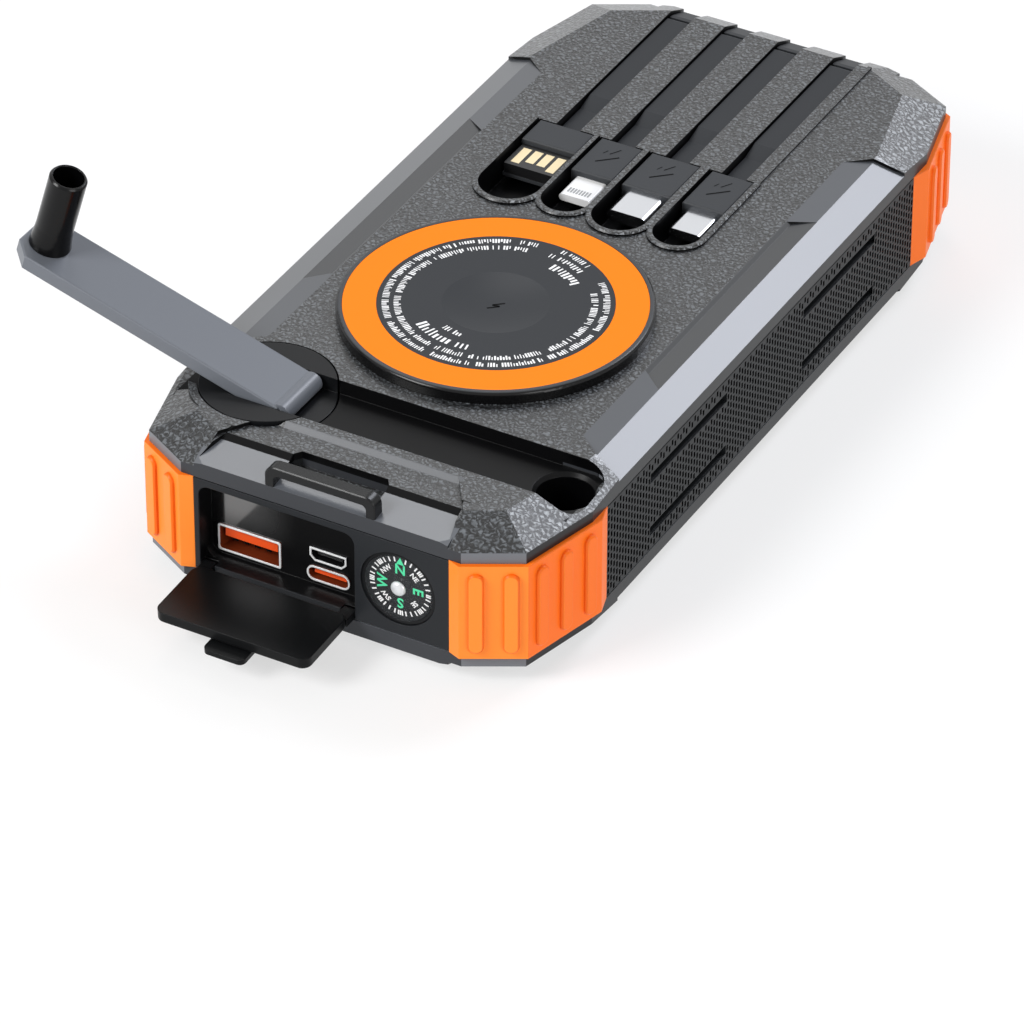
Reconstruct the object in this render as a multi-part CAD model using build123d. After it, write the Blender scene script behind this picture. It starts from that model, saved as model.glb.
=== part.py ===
from build123d import *
import math
import os

# Hand crank phone charger, in millimetres.
# X runs across the casing, Y from the socket end to the torch end, Z up to the crank face.
# The origin is the centre of the solar face, which the casing lies on.

# casing
side_half = 42.9
end_half = 89.2
mid_height = 20.2
cover_wall = 3.4
facet_drop = 1.1
cover_rise = 2.4
facet_a_turn = 61.0
facet_b_turn = 14.0
facet_a_cut = 6.9
facet_b_cut = 5.4
side_shoulder = 5.7
end_shoulder = 5.3
facet_shoulder = 8.0
cover_skin = 1.8
frame_skin = 2.0
panel_skin = 2.4
panel_half = 26.2
seam = 0.25
fit = 0.05

# corner bumpers
bumper_skin = 2.4
bumper_proud = 0.85
bumper_length = 27.8
bumper_bevel = 2.5
bumper_wing = 4.1
rib_height = 17.2
rib_width = 3.0
rib_pitch = 6.3
rib_proud = 0.8

# smooth recess at the ends
lip_half_top = 23.4
lip_half_low = 26.0
lip_back = 7.2
lip_step = 1.5
lip_fall = 1.2
lip_slant = 4.4

# lowered band beside the trough
band_drop = 0.8
band_inset = 15.7
band_half_top = 19.4
band_half_low = 25.1

# smooth strips along the two sides
strip_width = 10.3
strip_drop = 0.7
strip_gap = 9.9
strip_slant = 0.85
strip_outer_slant = 0.3
inset_half_y = 28.0
inset_bevel = 0.7
inset_fall = 0.6

# solar face
solar_side_margin = 11.7
solar_end_margin = 12.4
solar_corner = 6.5
solar_thick = 1.5
solar_gap = 0.15
screw_side_inset = 3.9
screw_side_y = 27.6
screw_corner_inset = (10.3, 8.0)
screw_head = 1.9
screw_shank = 1.1
screw_sink = 1.6
screw_boss = 2.7

# crank
hub_inset = 17.7
crank_inset = 24.8
hub_radius = 12.6
hub_gap = 0.3
hub_depth = 5.6
well_skin = 1.5
trough_depth = 3.0
trough_skin = 1.6
hinge_offset = 5.9
hinge_drop = 1.5
arm_angle = 16.5
arm_width = 12.8
arm_thick = 2.8
arm_end_gap = 1.9
arm_corner = 3.4
arm_side_gap = 0.35
arm_rest_gap = 0.15
barrel_radius = 2.0
barrel_gap = 0.3
hinge_pin_radius = 0.9
grip_inset = 4.8
grip_length = 16.5
grip_radius = 3.55
grip_bore = 2.85
grip_foot = 4.0
grip_neck = 2.2
grip_shoulder = 2.0
grip_well_offset = 1.1
grip_well_radius = 5.3
grip_well_skin = 0.8
grip_well_spare = 1.0
trough_rim = 1.3

# gears and generator
drive_teeth = 30
drive_module = 0.8
pinion_teeth = 12
wheel_teeth = 32
wheel_module = 0.6
gear_face = 3.0
tooth_slack = 0.12
pressure_angle = 25.0
shaft_radius = 4.0
foot_radius = 3.0
idler_bore = 1.25
rotor_shaft = 1.0
gear_plate_thick = 1.2
post_radius = 1.6
post_spread = 8.0
post_reach = (11.7, 13.6)
generator_radius = 11.5
generator_skin = 1.1
rotor_radius = 7.5

# charging pad
pad_y = -25.0
pad_radius = 29.4
pad_height = 2.4
ring_outer = 28.2
ring_inner = 21.95
ring_thick = 0.6
dish_radius = 10.0
dish_depth = 0.8
coil_outer = 21.0
coil_inner = 10.0
coil_thick = 1.2
magnet_mid = 25.4
magnet_size = 3.6
magnet_count = 12

# built-in leads and their plugs
lead_x = [-18.7, -6.8, 4.8, 16.9]
plug_width = [11.7, 8.9, 10.4, 8.9]
block_start = [29.2, 24.4, 24.4, 24.4]
tip_width = [11.6, 6.7, 8.3, 6.9]
tip_length = [7.6, 6.8, 7.8, 7.4]
tip_thick = [2.2, 1.5, 2.5, 1.9]
block_end = 36.7
block_thick = 4.2
block_proud = 0.2
pocket_centre_y = 14.3
pocket_gap = 0.35
pocket_depth = 5.4
bead_width = 1.1
bead_height = 0.7
strap_width = 4.7
strap_thick = 1.5
groove_gap = 0.25
strap_drop = 0.5
strap_kink_y = 50.0
strap_kink = 1.1
strap_end_inset = 6.8
ridge_width = 0.8
ridge_height = 0.35

# socket end
recess_x = (-25.2, 7.0)
recess_z = (7.4, 24.4)
recess_depth = 4.4
recess_corner = 2.2
tray_skin = 1.0
usb_a_x = -17.3
usb_a_size = (13.1, 5.7, 13.0)
small_port_x = -0.9
micro_size = (7.6, 2.8, 6.0)
type_c_size = (8.9, 3.2, 7.4)
small_port_pitch = 4.2
port_sheet = 0.35
board_thick = 1.2
port_board_top = 8.2
door_open = 92.5
door_hinge_rise = 1.9
door_thick = 2.2
door_gap = 0.3
door_axis_inset = 0.75
door_axis_z = 6.7
door_ear = 0.75
door_ear_width = 2.5
door_pin = 0.4
door_tab_width = 8.4
door_tab_proud = 1.2
door_tab_reach = 2.8
compass_x = 15.8
compass_z = 15.9
compass_radius = 7.6
compass_depth = 6.0
card_radius = 6.5

# torch end
torch_x = 12.5
torch_z = 15.9
torch_radius = 6.4
torch_depth = 7.4
signal_radius = 1.5

# lanyard loop
loop_half = 11.3
loop_depth = 2.8
loop_height = 4.3
loop_bar = 1.8
loop_corner = 2.2
cord_pocket_half = 9.3
cord_pocket_depth = 3.9
cord_notch = 2.8

# side walls
slot_length = 30.1
slot_near_y = 15.4
slot_height = 2.0
slot_depth = 1.6
grille_thick = 0.35
slot_z = (10.0, 21.7)
button_y = -6.0
button_length = 9.0
button_height = 3.6
button_travel = 0.6
lamp_radius = 0.7
lamp_pitch = 3.0

# inner pieces
cell_size = (34.0, 98.0, 10.6)
cell_y = 7.0
board_z = 15.4

# sizes that follow
facet_a = math.radians(facet_a_turn)
facet_b = math.radians(facet_b_turn)
facet_a_reach = side_half * math.cos(facet_a) + end_half * math.sin(facet_a) - facet_a_cut
facet_b_reach = side_half * math.cos(facet_b) + end_half * math.sin(facet_b) - facet_b_cut
bumper_end_y = end_half - bumper_length
band_y = end_half - band_inset
strip_end_y = bumper_end_y - strip_gap
strip_inner_x = side_half - strip_width
solar_half_x = side_half - solar_side_margin
solar_half_y = end_half - solar_end_margin
screw_side_x = side_half - screw_side_inset
screw_corner_x = side_half - screw_corner_inset[0]
screw_corner_y = end_half - screw_corner_inset[1]
hub_x = hub_inset - side_half
crank_y = crank_inset - end_half
strap_end_y = end_half - strap_end_inset
door_axis_y = door_axis_inset - end_half
trough_end_x = side_half - trough_rim
frame_low = cover_rise + cover_wall
frame_high = frame_low + mid_height
top_z = frame_high + cover_wall + cover_rise
lift = math.radians(arm_angle)
hinge_x = hub_x + hinge_offset
arm_reach = trough_end_x - arm_end_gap - hinge_x
grip_reach = arm_reach - grip_inset
grip_well_x = hinge_x + grip_reach + grip_well_offset
hinge_z = top_z - hinge_drop
trough_z = top_z - trough_depth
well_z = top_z - hub_depth
slot_half = arm_width / 2 + arm_side_gap
mid_z = (frame_low + frame_high) / 2
frame_side = side_half - bumper_skin
frame_end = end_half - panel_skin
frame_a = facet_a_reach + bumper_proud - bumper_skin
frame_b = facet_b_reach + bumper_proud - bumper_skin


def block(x, y, z):
    """A box from its low and high values along each axis."""
    centre = ((x[0] + x[1]) / 2, (y[0] + y[1]) / 2, (z[0] + z[1]) / 2)
    return Pos(*centre) * Box(x[1] - x[0], y[1] - y[0], z[1] - z[0])


def rod(radius, low, high, x=0.0, y=0.0):
    """An upright cylinder between two heights."""
    return Pos(x, y, (low + high) / 2) * Cylinder(radius, high - low)


def rod_y(radius, y, x, z):
    """A cylinder along Y."""
    turned = Rot(90, 0, 0) * Cylinder(radius, y[1] - y[0])
    return Pos(x, (y[0] + y[1]) / 2, z) * turned


def rod_x(radius, x, y, z):
    """A cylinder along X."""
    turned = Rot(0, 90, 0) * Cylinder(radius, x[1] - x[0])
    return Pos((x[0] + x[1]) / 2, y, z) * turned


def face_at(points, z):
    return Pos(0, 0, z) * make_face(Polyline(*points, close=True))


def prism(points, low, high):
    return extrude(face_at(points, low), high - low)


def side_prism(points, y):
    """A profile drawn in X and Z, carried along Y."""
    drawn = make_face(Polyline(*[(x, y[0], z) for x, z in points], close=True))
    return extrude(drawn, amount=y[1] - y[0], dir=(0, 1, 0))


def end_prism(points, x):
    """A profile drawn in Y and Z, carried along X."""
    drawn = make_face(Polyline(*[(x[0], y, z) for y, z in points], close=True))
    return extrude(drawn, amount=x[1] - x[0], dir=(1, 0, 0))


def meet(turn_1, reach_1, turn_2, reach_2):
    """The point where two lines cross, each given by its normal's turn and its reach."""
    a, b = math.radians(turn_1), math.radians(turn_2)
    span = math.sin(b - a)
    x = (reach_1 * math.sin(b) - reach_2 * math.sin(a)) / span
    y = (reach_2 * math.cos(a) - reach_1 * math.cos(b)) / span
    return x, y


def four_ways(corner):
    """Mirrors one corner's points, listed from the end to the side, into a closed outline."""
    right_back = corner
    right_front = [(x, -y) for x, y in reversed(corner)]
    left_front = [(-x, -y) for x, y in corner]
    left_back = [(-x, y) for x, y in reversed(corner)]
    return right_back + right_front + left_front + left_back


def casing_outline(side, b, a, end):
    corner = [
        meet(90, end, facet_a_turn, a),
        meet(facet_a_turn, a, facet_b_turn, b),
        meet(facet_b_turn, b, 0, side),
    ]
    return four_ways(corner)


def cover_form(inset, base, drop):
    """The outside of a cover, or its inside when inset and dropped; it stands on base."""
    wall_top = frame_high + cover_wall
    rim = casing_outline(
        side_half - inset, facet_b_reach - inset, facet_a_reach - inset, end_half - inset
    )
    crown = casing_outline(
        side_half - side_shoulder - inset,
        facet_b_reach - facet_shoulder - inset,
        facet_a_reach - facet_shoulder - inset,
        end_half - end_shoulder - inset,
    )
    wall = prism(rim, base, wall_top - drop)
    shoulder = loft([face_at(rim, wall_top - drop), face_at(crown, top_z - drop)], ruled=True)
    return wall + shoulder - facet_cuts(inset, drop)


def facet_cuts(inset, drop):
    """What comes off the shoulder so that it runs further down on the corners than at the sides."""
    low = frame_high + cover_wall - facet_drop - drop
    cuts = Part()

    def cut(turn, reach, width, span):
        fall = (top_z - drop - low) / width
        profile = [
            (reach - inset - width - 1, top_z - drop + fall),
            (reach - inset + 3, low - 3 * fall),
            (reach - inset + 3, top_z + 2),
            (reach - inset - width - 1, top_z + 2),
        ]
        return Rot(0, 0, turn) * side_prism(profile, span)

    for turn, reach in ((facet_a_turn, facet_a_reach), (facet_b_turn, facet_b_reach)):
        for way in (turn, 180 - turn, 180 + turn, -turn):
            cuts += cut(way, reach, facet_shoulder, (-end_half, end_half))
    for way in (90, -90):
        for span in ((-end_half, -lip_half_low), (lip_half_low, end_half)):
            cuts += cut(way, end_half, end_shoulder, span)
    return cuts


def end_lip():
    """The cut for the smooth recess in the shoulder of the -Y end."""
    back = -end_half + lip_back
    floor_back = top_z - band_drop - lip_step + 0.8
    floor_front = floor_back - lip_fall
    cut = end_prism(
        [
            (back, floor_back),
            (back + lip_slant, top_z + 1),
            (-end_half - 1, top_z + 1),
            (-end_half - 1, floor_front),
        ],
        (-lip_half_low - 2, lip_half_low + 2),
    )
    plan = [
        (-lip_half_low, -end_half - 1),
        (lip_half_low, -end_half - 1),
        (lip_half_low, -end_half),
        (lip_half_top, back + lip_slant),
        (-lip_half_top, back + lip_slant),
        (-lip_half_low, -end_half),
    ]
    return cut & prism(plan, frame_high, top_z + 1)


def lip_height(y):
    """Height of the recess floor at a distance y from the middle."""
    back = end_half - lip_back
    floor_back = top_z - band_drop - lip_step + 0.8
    slope = lip_fall / (lip_back + 1)
    return floor_back - (y - back) * slope


def lowered_band():
    """The cut that drops the band between the trough and the end recess."""
    slope = band_drop / math.tan(math.radians(40))
    cut = end_prism(
        [
            (-band_y, top_z),
            (-band_y, top_z + 1),
            (-end_half - 1, top_z + 1),
            (-end_half - 1, top_z - band_drop),
            (-band_y - slope, top_z - band_drop),
        ],
        (-band_half_low - 1, band_half_low + 1),
    )
    plan = [
        (-band_half_top, -band_y + 0.01),
        (-band_half_low, -end_half + lip_back),
        (-band_half_low, -end_half - 1),
        (band_half_low, -end_half - 1),
        (band_half_low, -end_half + lip_back),
        (band_half_top, -band_y + 0.01),
    ]
    return cut & prism(plan, frame_high, top_z + 1)


def strip_plan(inner_x, end_y, outer_x, slant, tail):
    """Plan of a side strip, whose ends slant outwards and then less steeply."""
    elbow_y = end_y + (outer_x - inner_x) * slant
    tail_y = elbow_y + (side_half + 1 - outer_x) * tail
    half = [(inner_x, end_y), (outer_x, elbow_y), (side_half + 1, tail_y)]
    return half + [(x, -y) for x, y in reversed(half)]


def side_strips():
    """The cuts for the smooth strips in the long shoulders, and the inset half way along each."""
    edge_x = side_half - side_shoulder
    edge_z = top_z - strip_drop
    rim_z = edge_z - cover_rise * (side_shoulder + 1) / side_shoulder
    strip = side_prism(
        [
            (strip_inner_x, top_z),
            (edge_x, edge_z),
            (side_half + 1, rim_z),
            (side_half + 1, top_z + 1),
            (strip_inner_x, top_z + 1),
        ],
        (-end_half, end_half),
    )
    plan = strip_plan(strip_inner_x, strip_end_y, edge_x, strip_slant, strip_outer_slant)
    strip &= prism(plan, frame_high, top_z + 2)
    inset = side_prism(
        [
            (strip_inner_x, top_z),
            (strip_inner_x + inset_bevel, top_z - inset_fall),
            (edge_x, edge_z - 0.02),
            (edge_x, top_z + 1),
            (strip_inner_x, top_z + 1),
        ],
        (-end_half, end_half),
    )
    plan = strip_plan(strip_inner_x, inset_half_y, edge_x, strip_slant - 0.1, 0)
    inset &= prism(plan, frame_high, top_z + 2)
    right = strip + inset
    return right + mirror(right, about=Plane.YZ)


def screw_spots():
    side = [(sx * screw_side_x, sy * screw_side_y) for sx in (-1, 1) for sy in (-1, 1)]
    corner = [(sx * screw_corner_x, sy * screw_corner_y) for sx in (-1, 1) for sy in (-1, 1)]
    return side + corner


def flip(shape):
    """Turns a top cover's form into a bottom cover's."""
    return mirror(shape, about=Plane.XY.offset(top_z / 2))


# ---- covers, frame and bumpers ----


def make_top_cover():
    cover = cover_form(0, frame_high, 0) - cover_form(cover_skin, frame_high, cover_skin)
    inside = cover_form(cover_skin / 2, frame_high, cover_skin / 2)
    for x, y in screw_spots():
        boss = rod(screw_boss, frame_high, top_z, x, y) & inside
        cover += boss
    cover += rod(hub_radius + hub_gap + well_skin, well_z - hub_gap - cover_skin, top_z, hub_x, crank_y)
    trough_box = ((hub_x, trough_end_x + 0.4), (crank_y - slot_half - 1.5, crank_y + slot_half + 1.5))
    cover += block(*trough_box, (trough_z - trough_skin, top_z)) & inside
    cup_floor = hinge_z - arm_thick / 2 - grip_length - grip_well_spare
    cup_outer = grip_well_radius + grip_well_skin
    cup_top = trough_z + trough_skin / 2
    cup = rod(cup_outer, cup_floor - cover_skin, cup_top, grip_well_x, crank_y)
    cover += cup & cover_form(0, cup_floor - cover_skin, 0)
    cover += rod(3.0, trough_z - trough_skin - 1.8, trough_z - trough_skin, idler_x, crank_y)
    for number, x in enumerate(lead_x):
        half = plug_width[number] / 2 + pocket_gap + 1.4
        tank = block((x - half, x + half), (pocket_centre_y - half, block_end + 1.6), (lead_floor - 1.4, top_z))
        cover += tank & inside
        sill = block(
            (x - strap_width / 2 - 1.4, x + strap_width / 2 + 1.4),
            (block_end, end_half - 1.0),
            (top_z - strap_drop - strap_kink - strap_thick - 1.6, top_z),
        )
        cover += sill & inside
        cover += pocket_bead(number)
    ridge_x = lead_x[3] + plug_width[3] / 2 + pocket_gap
    cover += block(
        (ridge_x, ridge_x + ridge_width),
        (block_end, end_half - end_shoulder),
        (top_z - 0.5, top_z + ridge_height),
    )
    back = -end_half + lip_back
    cover += block(
        (-cord_pocket_half - 2.4, cord_pocket_half + 1.4),
        (-end_half + 1.4, back + cord_notch + 1.4),
        (top_z - cord_pocket_depth - 1.5, top_z),
    ) & inside
    cover -= side_strips()
    cover -= lowered_band()
    cover -= end_lip()
    cover -= rod(hub_radius + hub_gap, well_z - hub_gap, top_z + 1, hub_x, crank_y)
    cover -= rod(shaft_radius + fit, 0, top_z, hub_x, crank_y)
    cover -= trough_cut()
    cover -= rod(grip_well_radius, cup_floor, top_z + 1, grip_well_x, crank_y)
    mouth = Pos(grip_well_x, crank_y, trough_z - 0.7) * Cone(
        grip_well_radius, grip_well_radius + 0.75, 0.75, align=(Align.CENTER, Align.CENTER, Align.MIN)
    )
    cover -= mouth
    notch = ((-side_half - 1, hub_x), (crank_y - slot_half, crank_y + slot_half))
    cover -= block(*notch, (trough_z - 0.05, top_z + 1))
    for number in range(len(lead_x)):
        cover -= pocket_cut(number)
        cover -= groove_cut(number)
    cover -= rod(idler_bore + fit, 0, trough_z - trough_skin + 0.2, idler_x, crank_y)
    for x, y in screw_spots():
        cover -= rod(screw_shank + fit, 0, frame_high + 2.4, x, y)
    cover -= loop_pocket()
    return cover


def trough_cut():
    cut = block(
        (hub_x, trough_end_x),
        (crank_y - slot_half, crank_y + slot_half),
        (trough_z, top_z + 1),
    )
    corner = cut.edges().filter_by(Axis.Z).sort_by(Axis.X)[-2:]
    return fillet(corner, 3.5)


def pocket_plan(number, grow, stop):
    """Round-ended slot round one plug, in plan."""
    half = plug_width[number] / 2 + grow
    x = lead_x[number]
    nose = Pos(x, pocket_centre_y) * Circle(half)
    run = Pos(x, (pocket_centre_y + stop) / 2) * Rectangle(2 * half, stop - pocket_centre_y)
    return nose + run


def pocket_bead(number):
    grow = pocket_gap + bead_width
    drawn = Pos(0, 0, top_z - 0.5) * pocket_plan(number, grow, block_end)
    bead = extrude(drawn, 0.5 + bead_height)
    return chamfer(bead.faces().sort_by(Axis.Z)[-1].edges(), 0.3)


def pocket_cut(number):
    drawn = Pos(0, 0, lead_floor) * pocket_plan(number, pocket_gap, block_end + pocket_gap)
    return extrude(drawn, top_z + 2 - lead_floor)


def groove_cut(number):
    """The channel of one strap: its floor dips towards the plug and turns down at the end."""
    half = strap_width / 2 + groove_gap
    floor = top_z - strap_drop - strap_thick - 0.1
    low = floor - strap_kink
    end_floor = end_half - strap_thick - 0.25
    points = [
        (block_end - 0.1, low),
        (strap_kink_y - 4, low),
        (strap_kink_y, floor),
        (strap_end_y, floor),
        (end_floor - 0.4, floor - 2.3),
        (end_floor, floor - 3.1),
        (end_floor, frame_high - 0.1),
        (end_half + 1, frame_high - 0.1),
        (end_half + 1, top_z + 1),
        (block_end - 0.1, top_z + 1),
    ]
    return end_prism(points, (lead_x[number] - half, lead_x[number] + half))


def make_bottom_cover():
    cover = flip(cover_form(0, frame_high, 0) - cover_form(cover_skin, frame_high, cover_skin))
    inside = flip(cover_form(cover_skin / 2, frame_high, cover_skin / 2))
    for x, y in screw_spots():
        cover += rod(screw_boss, 0, frame_low, x, y) & inside
    tray_half = (solar_half_x + 1.4, solar_half_y + 1.4)
    cover += block(
        (-tray_half[0], tray_half[0]),
        (-tray_half[1], tray_half[1]),
        (solar_thick, solar_thick + 1.5),
    ) & inside
    cover -= Pos(0, 0, -0.5) * extrude(
        RectangleRounded(
            2 * (solar_half_x + solar_gap), 2 * (solar_half_y + solar_gap), solar_corner + solar_gap
        ),
        solar_thick + 0.5,
    )
    cover -= flip(side_strips())
    for side in (0, 180):
        cover -= Rot(0, 0, side) * flip(end_lip())
    for x, y in screw_spots():
        cover -= rod(screw_shank + 0.2, -1, frame_low + 1, x, y)
        cover -= rod(screw_head + 0.2, -1, screw_floor, x, y)
    return cover


def make_frame():
    outer = casing_outline(frame_side, frame_b, frame_a, frame_end)
    inner = casing_outline(
        frame_side - frame_skin, frame_b - frame_skin, frame_a - frame_skin, frame_end - frame_skin
    )
    frame = prism(outer, frame_low, frame_high)
    for side in (-1, 1):
        x = sorted((side * (frame_side - 0.5), side * (side_half - grille_thick)))
        frame += block(x, (-bumper_end_y, bumper_end_y), (frame_low, frame_high))
    core = prism(outer, frame_low, frame_high)
    frame -= prism(inner, frame_low - 1, frame_high + 1)
    for x, y in screw_spots():
        frame += rod(screw_boss, frame_low, frame_high, x, y) & core
    for side in (-1, 1):
        for y in (-34, 48):
            lug_x = sorted((side * 35.2, side * (frame_side - 1)))
            frame += block(lug_x, (y - 3, y + 3), (board_z - 2.0, board_z))
        frame -= side_slots(side)
    port_window = ((recess_x[0] - tray_skin - 0.2, compass_x + compass_radius + 0.4), (-end_half, crank_y))
    frame -= block(*port_window, (frame_low + 0.5, frame_high - 0.5))
    torch_window = (torch_x + torch_radius + 1.6, torch_radius + 0.9)
    frame -= block(
        (-torch_window[0], torch_window[0]),
        (end_half - crank_inset, end_half),
        (torch_z - torch_window[1], torch_z + torch_window[1]),
    )
    for x, y in screw_spots():
        frame -= rod(screw_shank + 0.2, 0, top_z, x, y)
    frame -= rod(hub_radius + hub_gap + well_skin + 0.1, well_z - 3, top_z, hub_x, crank_y)
    frame -= rod(grip_well_radius + grip_well_skin + 0.1, 0, top_z, grip_well_x, crank_y)
    frame -= button_hole()
    for y in lamp_rows:
        frame -= rod_x(lamp_radius + fit, (-side_half - 1, -side_half + 1.8), y, mid_z)
    return frame


def side_slots(side):
    """The four long slots in one side wall."""
    x = sorted((side * (side_half - slot_depth), side * (side_half + 1)))
    slots = Part()
    for near in (-slot_near_y - slot_length, slot_near_y):
        for z in slot_z:
            slots += block(x, (near, near + slot_length), (z - slot_height / 2, z + slot_height / 2))
    return slots


def make_grille(side):
    """The thin meshed skin on one side wall; its cells are too fine to model here."""
    x = sorted((side * (side_half - grille_thick), side * side_half))
    z = (frame_low + seam, frame_high - seam)
    skin = block(x, (-bumper_end_y, bumper_end_y), z) - side_slots(side)
    if side < 0:
        skin -= button_hole()
        for y in lamp_rows:
            skin -= rod_x(lamp_radius + fit, (-side_half - 1, -side_half + 1.8), y, mid_z)
    return skin


def make_bumper(side, end):
    """One corner: side and end are -1 or 1."""
    reach_a = facet_a_reach + bumper_proud
    reach_b = facet_b_reach + bumper_proud
    sin_a, cos_a = math.sin(facet_a), math.cos(facet_a)
    sin_b, cos_b = math.sin(facet_b), math.cos(facet_b)
    bevel_x = panel_half + bumper_bevel
    wing_y = bumper_end_y + bumper_wing
    near_end = (bevel_x, (reach_a - cos_a * bevel_x) / sin_a)
    elbow = meet(facet_a_turn, reach_a, facet_b_turn, reach_b)
    near_side = ((reach_b - sin_b * wing_y) / cos_b, wing_y)
    outline = [
        (panel_half, end_half),
        near_end,
        elbow,
        near_side,
        (side_half, bumper_end_y),
        (frame_side, bumper_end_y),
        meet(facet_b_turn, frame_b, 0, frame_side),
        meet(facet_a_turn, frame_a, facet_b_turn, frame_b),
        meet(90, frame_end, facet_a_turn, frame_a),
        (panel_half, frame_end),
    ]
    shell = prism(outline, frame_low, frame_high)
    mid_a = ((near_end[0] + elbow[0]) / 2, (near_end[1] + elbow[1]) / 2)
    mid_b = ((elbow[0] + near_side[0]) / 2, (elbow[1] + near_side[1]) / 2)
    for mid, turn, offsets in (
        (mid_a, facet_a_turn, (-0.5, 0.5)),
        (mid_b, facet_b_turn, (-1, 0, 1)),
    ):
        for offset in offsets:
            rib = Rot(0, 0, turn) * Pos(0, offset * rib_pitch, 0) * rib_pill()
            shell += Pos(mid[0], mid[1], mid_z) * rib
    if side < 0:
        shell = mirror(shell, about=Plane.YZ)
    if end < 0:
        shell = mirror(shell, about=Plane.XZ)
    if side > 0 and end < 0:
        shell -= rod(grip_well_radius + grip_well_skin + 0.1, 0, top_z, grip_well_x, crank_y)
    return shell


def rib_pill():
    """An upright round-ended rib that stands out along X."""
    drawn = Plane.YZ * SlotOverall(rib_height, rib_width, rotation=90)
    pill = extrude(Pos(-1, 0, 0) * drawn, 1 + rib_proud)
    return chamfer(pill.faces().sort_by(Axis.X)[-1].edges(), rib_proud * 0.45)


# ---- end panels and what they hold ----


def tray_block(grow, y):
    """The rounded block of the socket recess, grown by grow, between two values of y."""
    centre_x = (recess_x[0] + recess_x[1]) / 2
    centre_z = (recess_z[0] + recess_z[1]) / 2
    drawn = RectangleRounded(
        recess_x[1] - recess_x[0] + 2 * grow,
        recess_z[1] - recess_z[0] + 2 * grow,
        recess_corner + grow,
    )
    solid = extrude(Plane.XZ * drawn, y[1] - y[0], both=False)
    return Pos(centre_x, y[1], centre_z) * solid


def make_port_panel():
    low, high = frame_low + seam, frame_high - seam
    panel = block((-panel_half, panel_half), (-end_half, -frame_end), (low, high))
    back = -end_half + recess_depth
    panel += tray_block(tray_skin, (-frame_end - 0.5, back + tray_skin)) & block(
        (-side_half, side_half), (-end_half, 0), (low + 0.3, high - 0.3)
    )
    panel -= tray_block(0, (-end_half - 1, back))
    seat = (-end_half - 1, -end_half + door_thick + door_gap)
    panel -= block(recess_x, seat, (recess_z[0], recess_z[0] + recess_corner + 1))
    usb_z = port_board_top + usb_a_size[1] / 2
    panel -= port_opening(usb_a_x, usb_z, usb_a_size, fit)
    panel -= port_opening(small_port_x, type_c_z, type_c_size, fit)
    panel -= port_opening(small_port_x, type_c_z + small_port_pitch, micro_size, fit)
    panel -= rod_y(compass_radius + fit, (-end_half - 1, -frame_end + 1), compass_x, compass_z)
    for ear in door_ears():
        slot = block(
            (ear[0] - 0.2, ear[1] + 0.2),
            (-end_half - 1, door_axis_y + door_ear + 0.2),
            (frame_low, recess_z[0] + 0.5),
        )
        panel -= slot
        pin_x = (ear[0] - 0.8, ear[1] + 0.8)
        panel -= rod_x(door_pin + fit, pin_x, door_axis_y, door_axis_z)
    return panel


def port_section(size, grow):
    """Outline of a socket's mouth: round, keyed or square, grown by grow."""
    half_x, half_z = size[0] / 2 + grow, size[1] / 2 + grow
    if size is type_c_size:
        return RectangleRounded(2 * half_x, 2 * half_z, half_z - 0.1)
    if size is micro_size:
        key = half_z * 0.75
        points = [
            (-half_x, half_z),
            (half_x, half_z),
            (half_x, half_z - 2 * half_z + key),
            (half_x - key, -half_z),
            (key - half_x, -half_z),
            (-half_x, half_z - 2 * half_z + key),
        ]
        return make_face(Polyline(*points, close=True))
    return RectangleRounded(2 * half_x, 2 * half_z, 0.4)


def port_opening(x, z, size, grow):
    back = -end_half + recess_depth
    solid = extrude(Plane.XZ * port_section(size, grow), size[2])
    return Pos(x, back + size[2] - 0.3, z) * solid


def make_shell(x, z, size, wall):
    """A folded metal port shell, open at its mouth."""
    back = -end_half + recess_depth
    outer = extrude(Plane.XZ * port_section(size, 0), size[2])
    inner = extrude(Plane.XZ * port_section(size, -wall), size[2])
    shell = outer - Pos(0, -0.8, 0) * inner
    return Pos(x, back + size[2] - 0.3, z) * shell


def make_tongues():
    back = -end_half + recess_depth
    usb_z = port_board_top + usb_a_size[1] / 2
    rows = [
        (usb_a_x, usb_z + 0.9, usb_a_size, (10.9, 1.9)),
        (small_port_x, type_c_z, type_c_size, (6.6, 0.8)),
        (small_port_x, type_c_z + small_port_pitch, micro_size, (5.2, 0.8)),
    ]
    tongues = []
    for x, z, size, section in rows:
        y = (back + 0.6, back + size[2] - 1.1)
        tongues.append(
            block(
                (x - section[0] / 2, x + section[0] / 2), y, (z - section[1] / 2, z + section[1] / 2)
            )
        )
    return tongues


def door_ears():
    left = recess_x[0] + door_gap
    right = recess_x[1] - door_gap
    return [(left, left + door_ear_width), (right - door_ear_width, right)]


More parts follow.
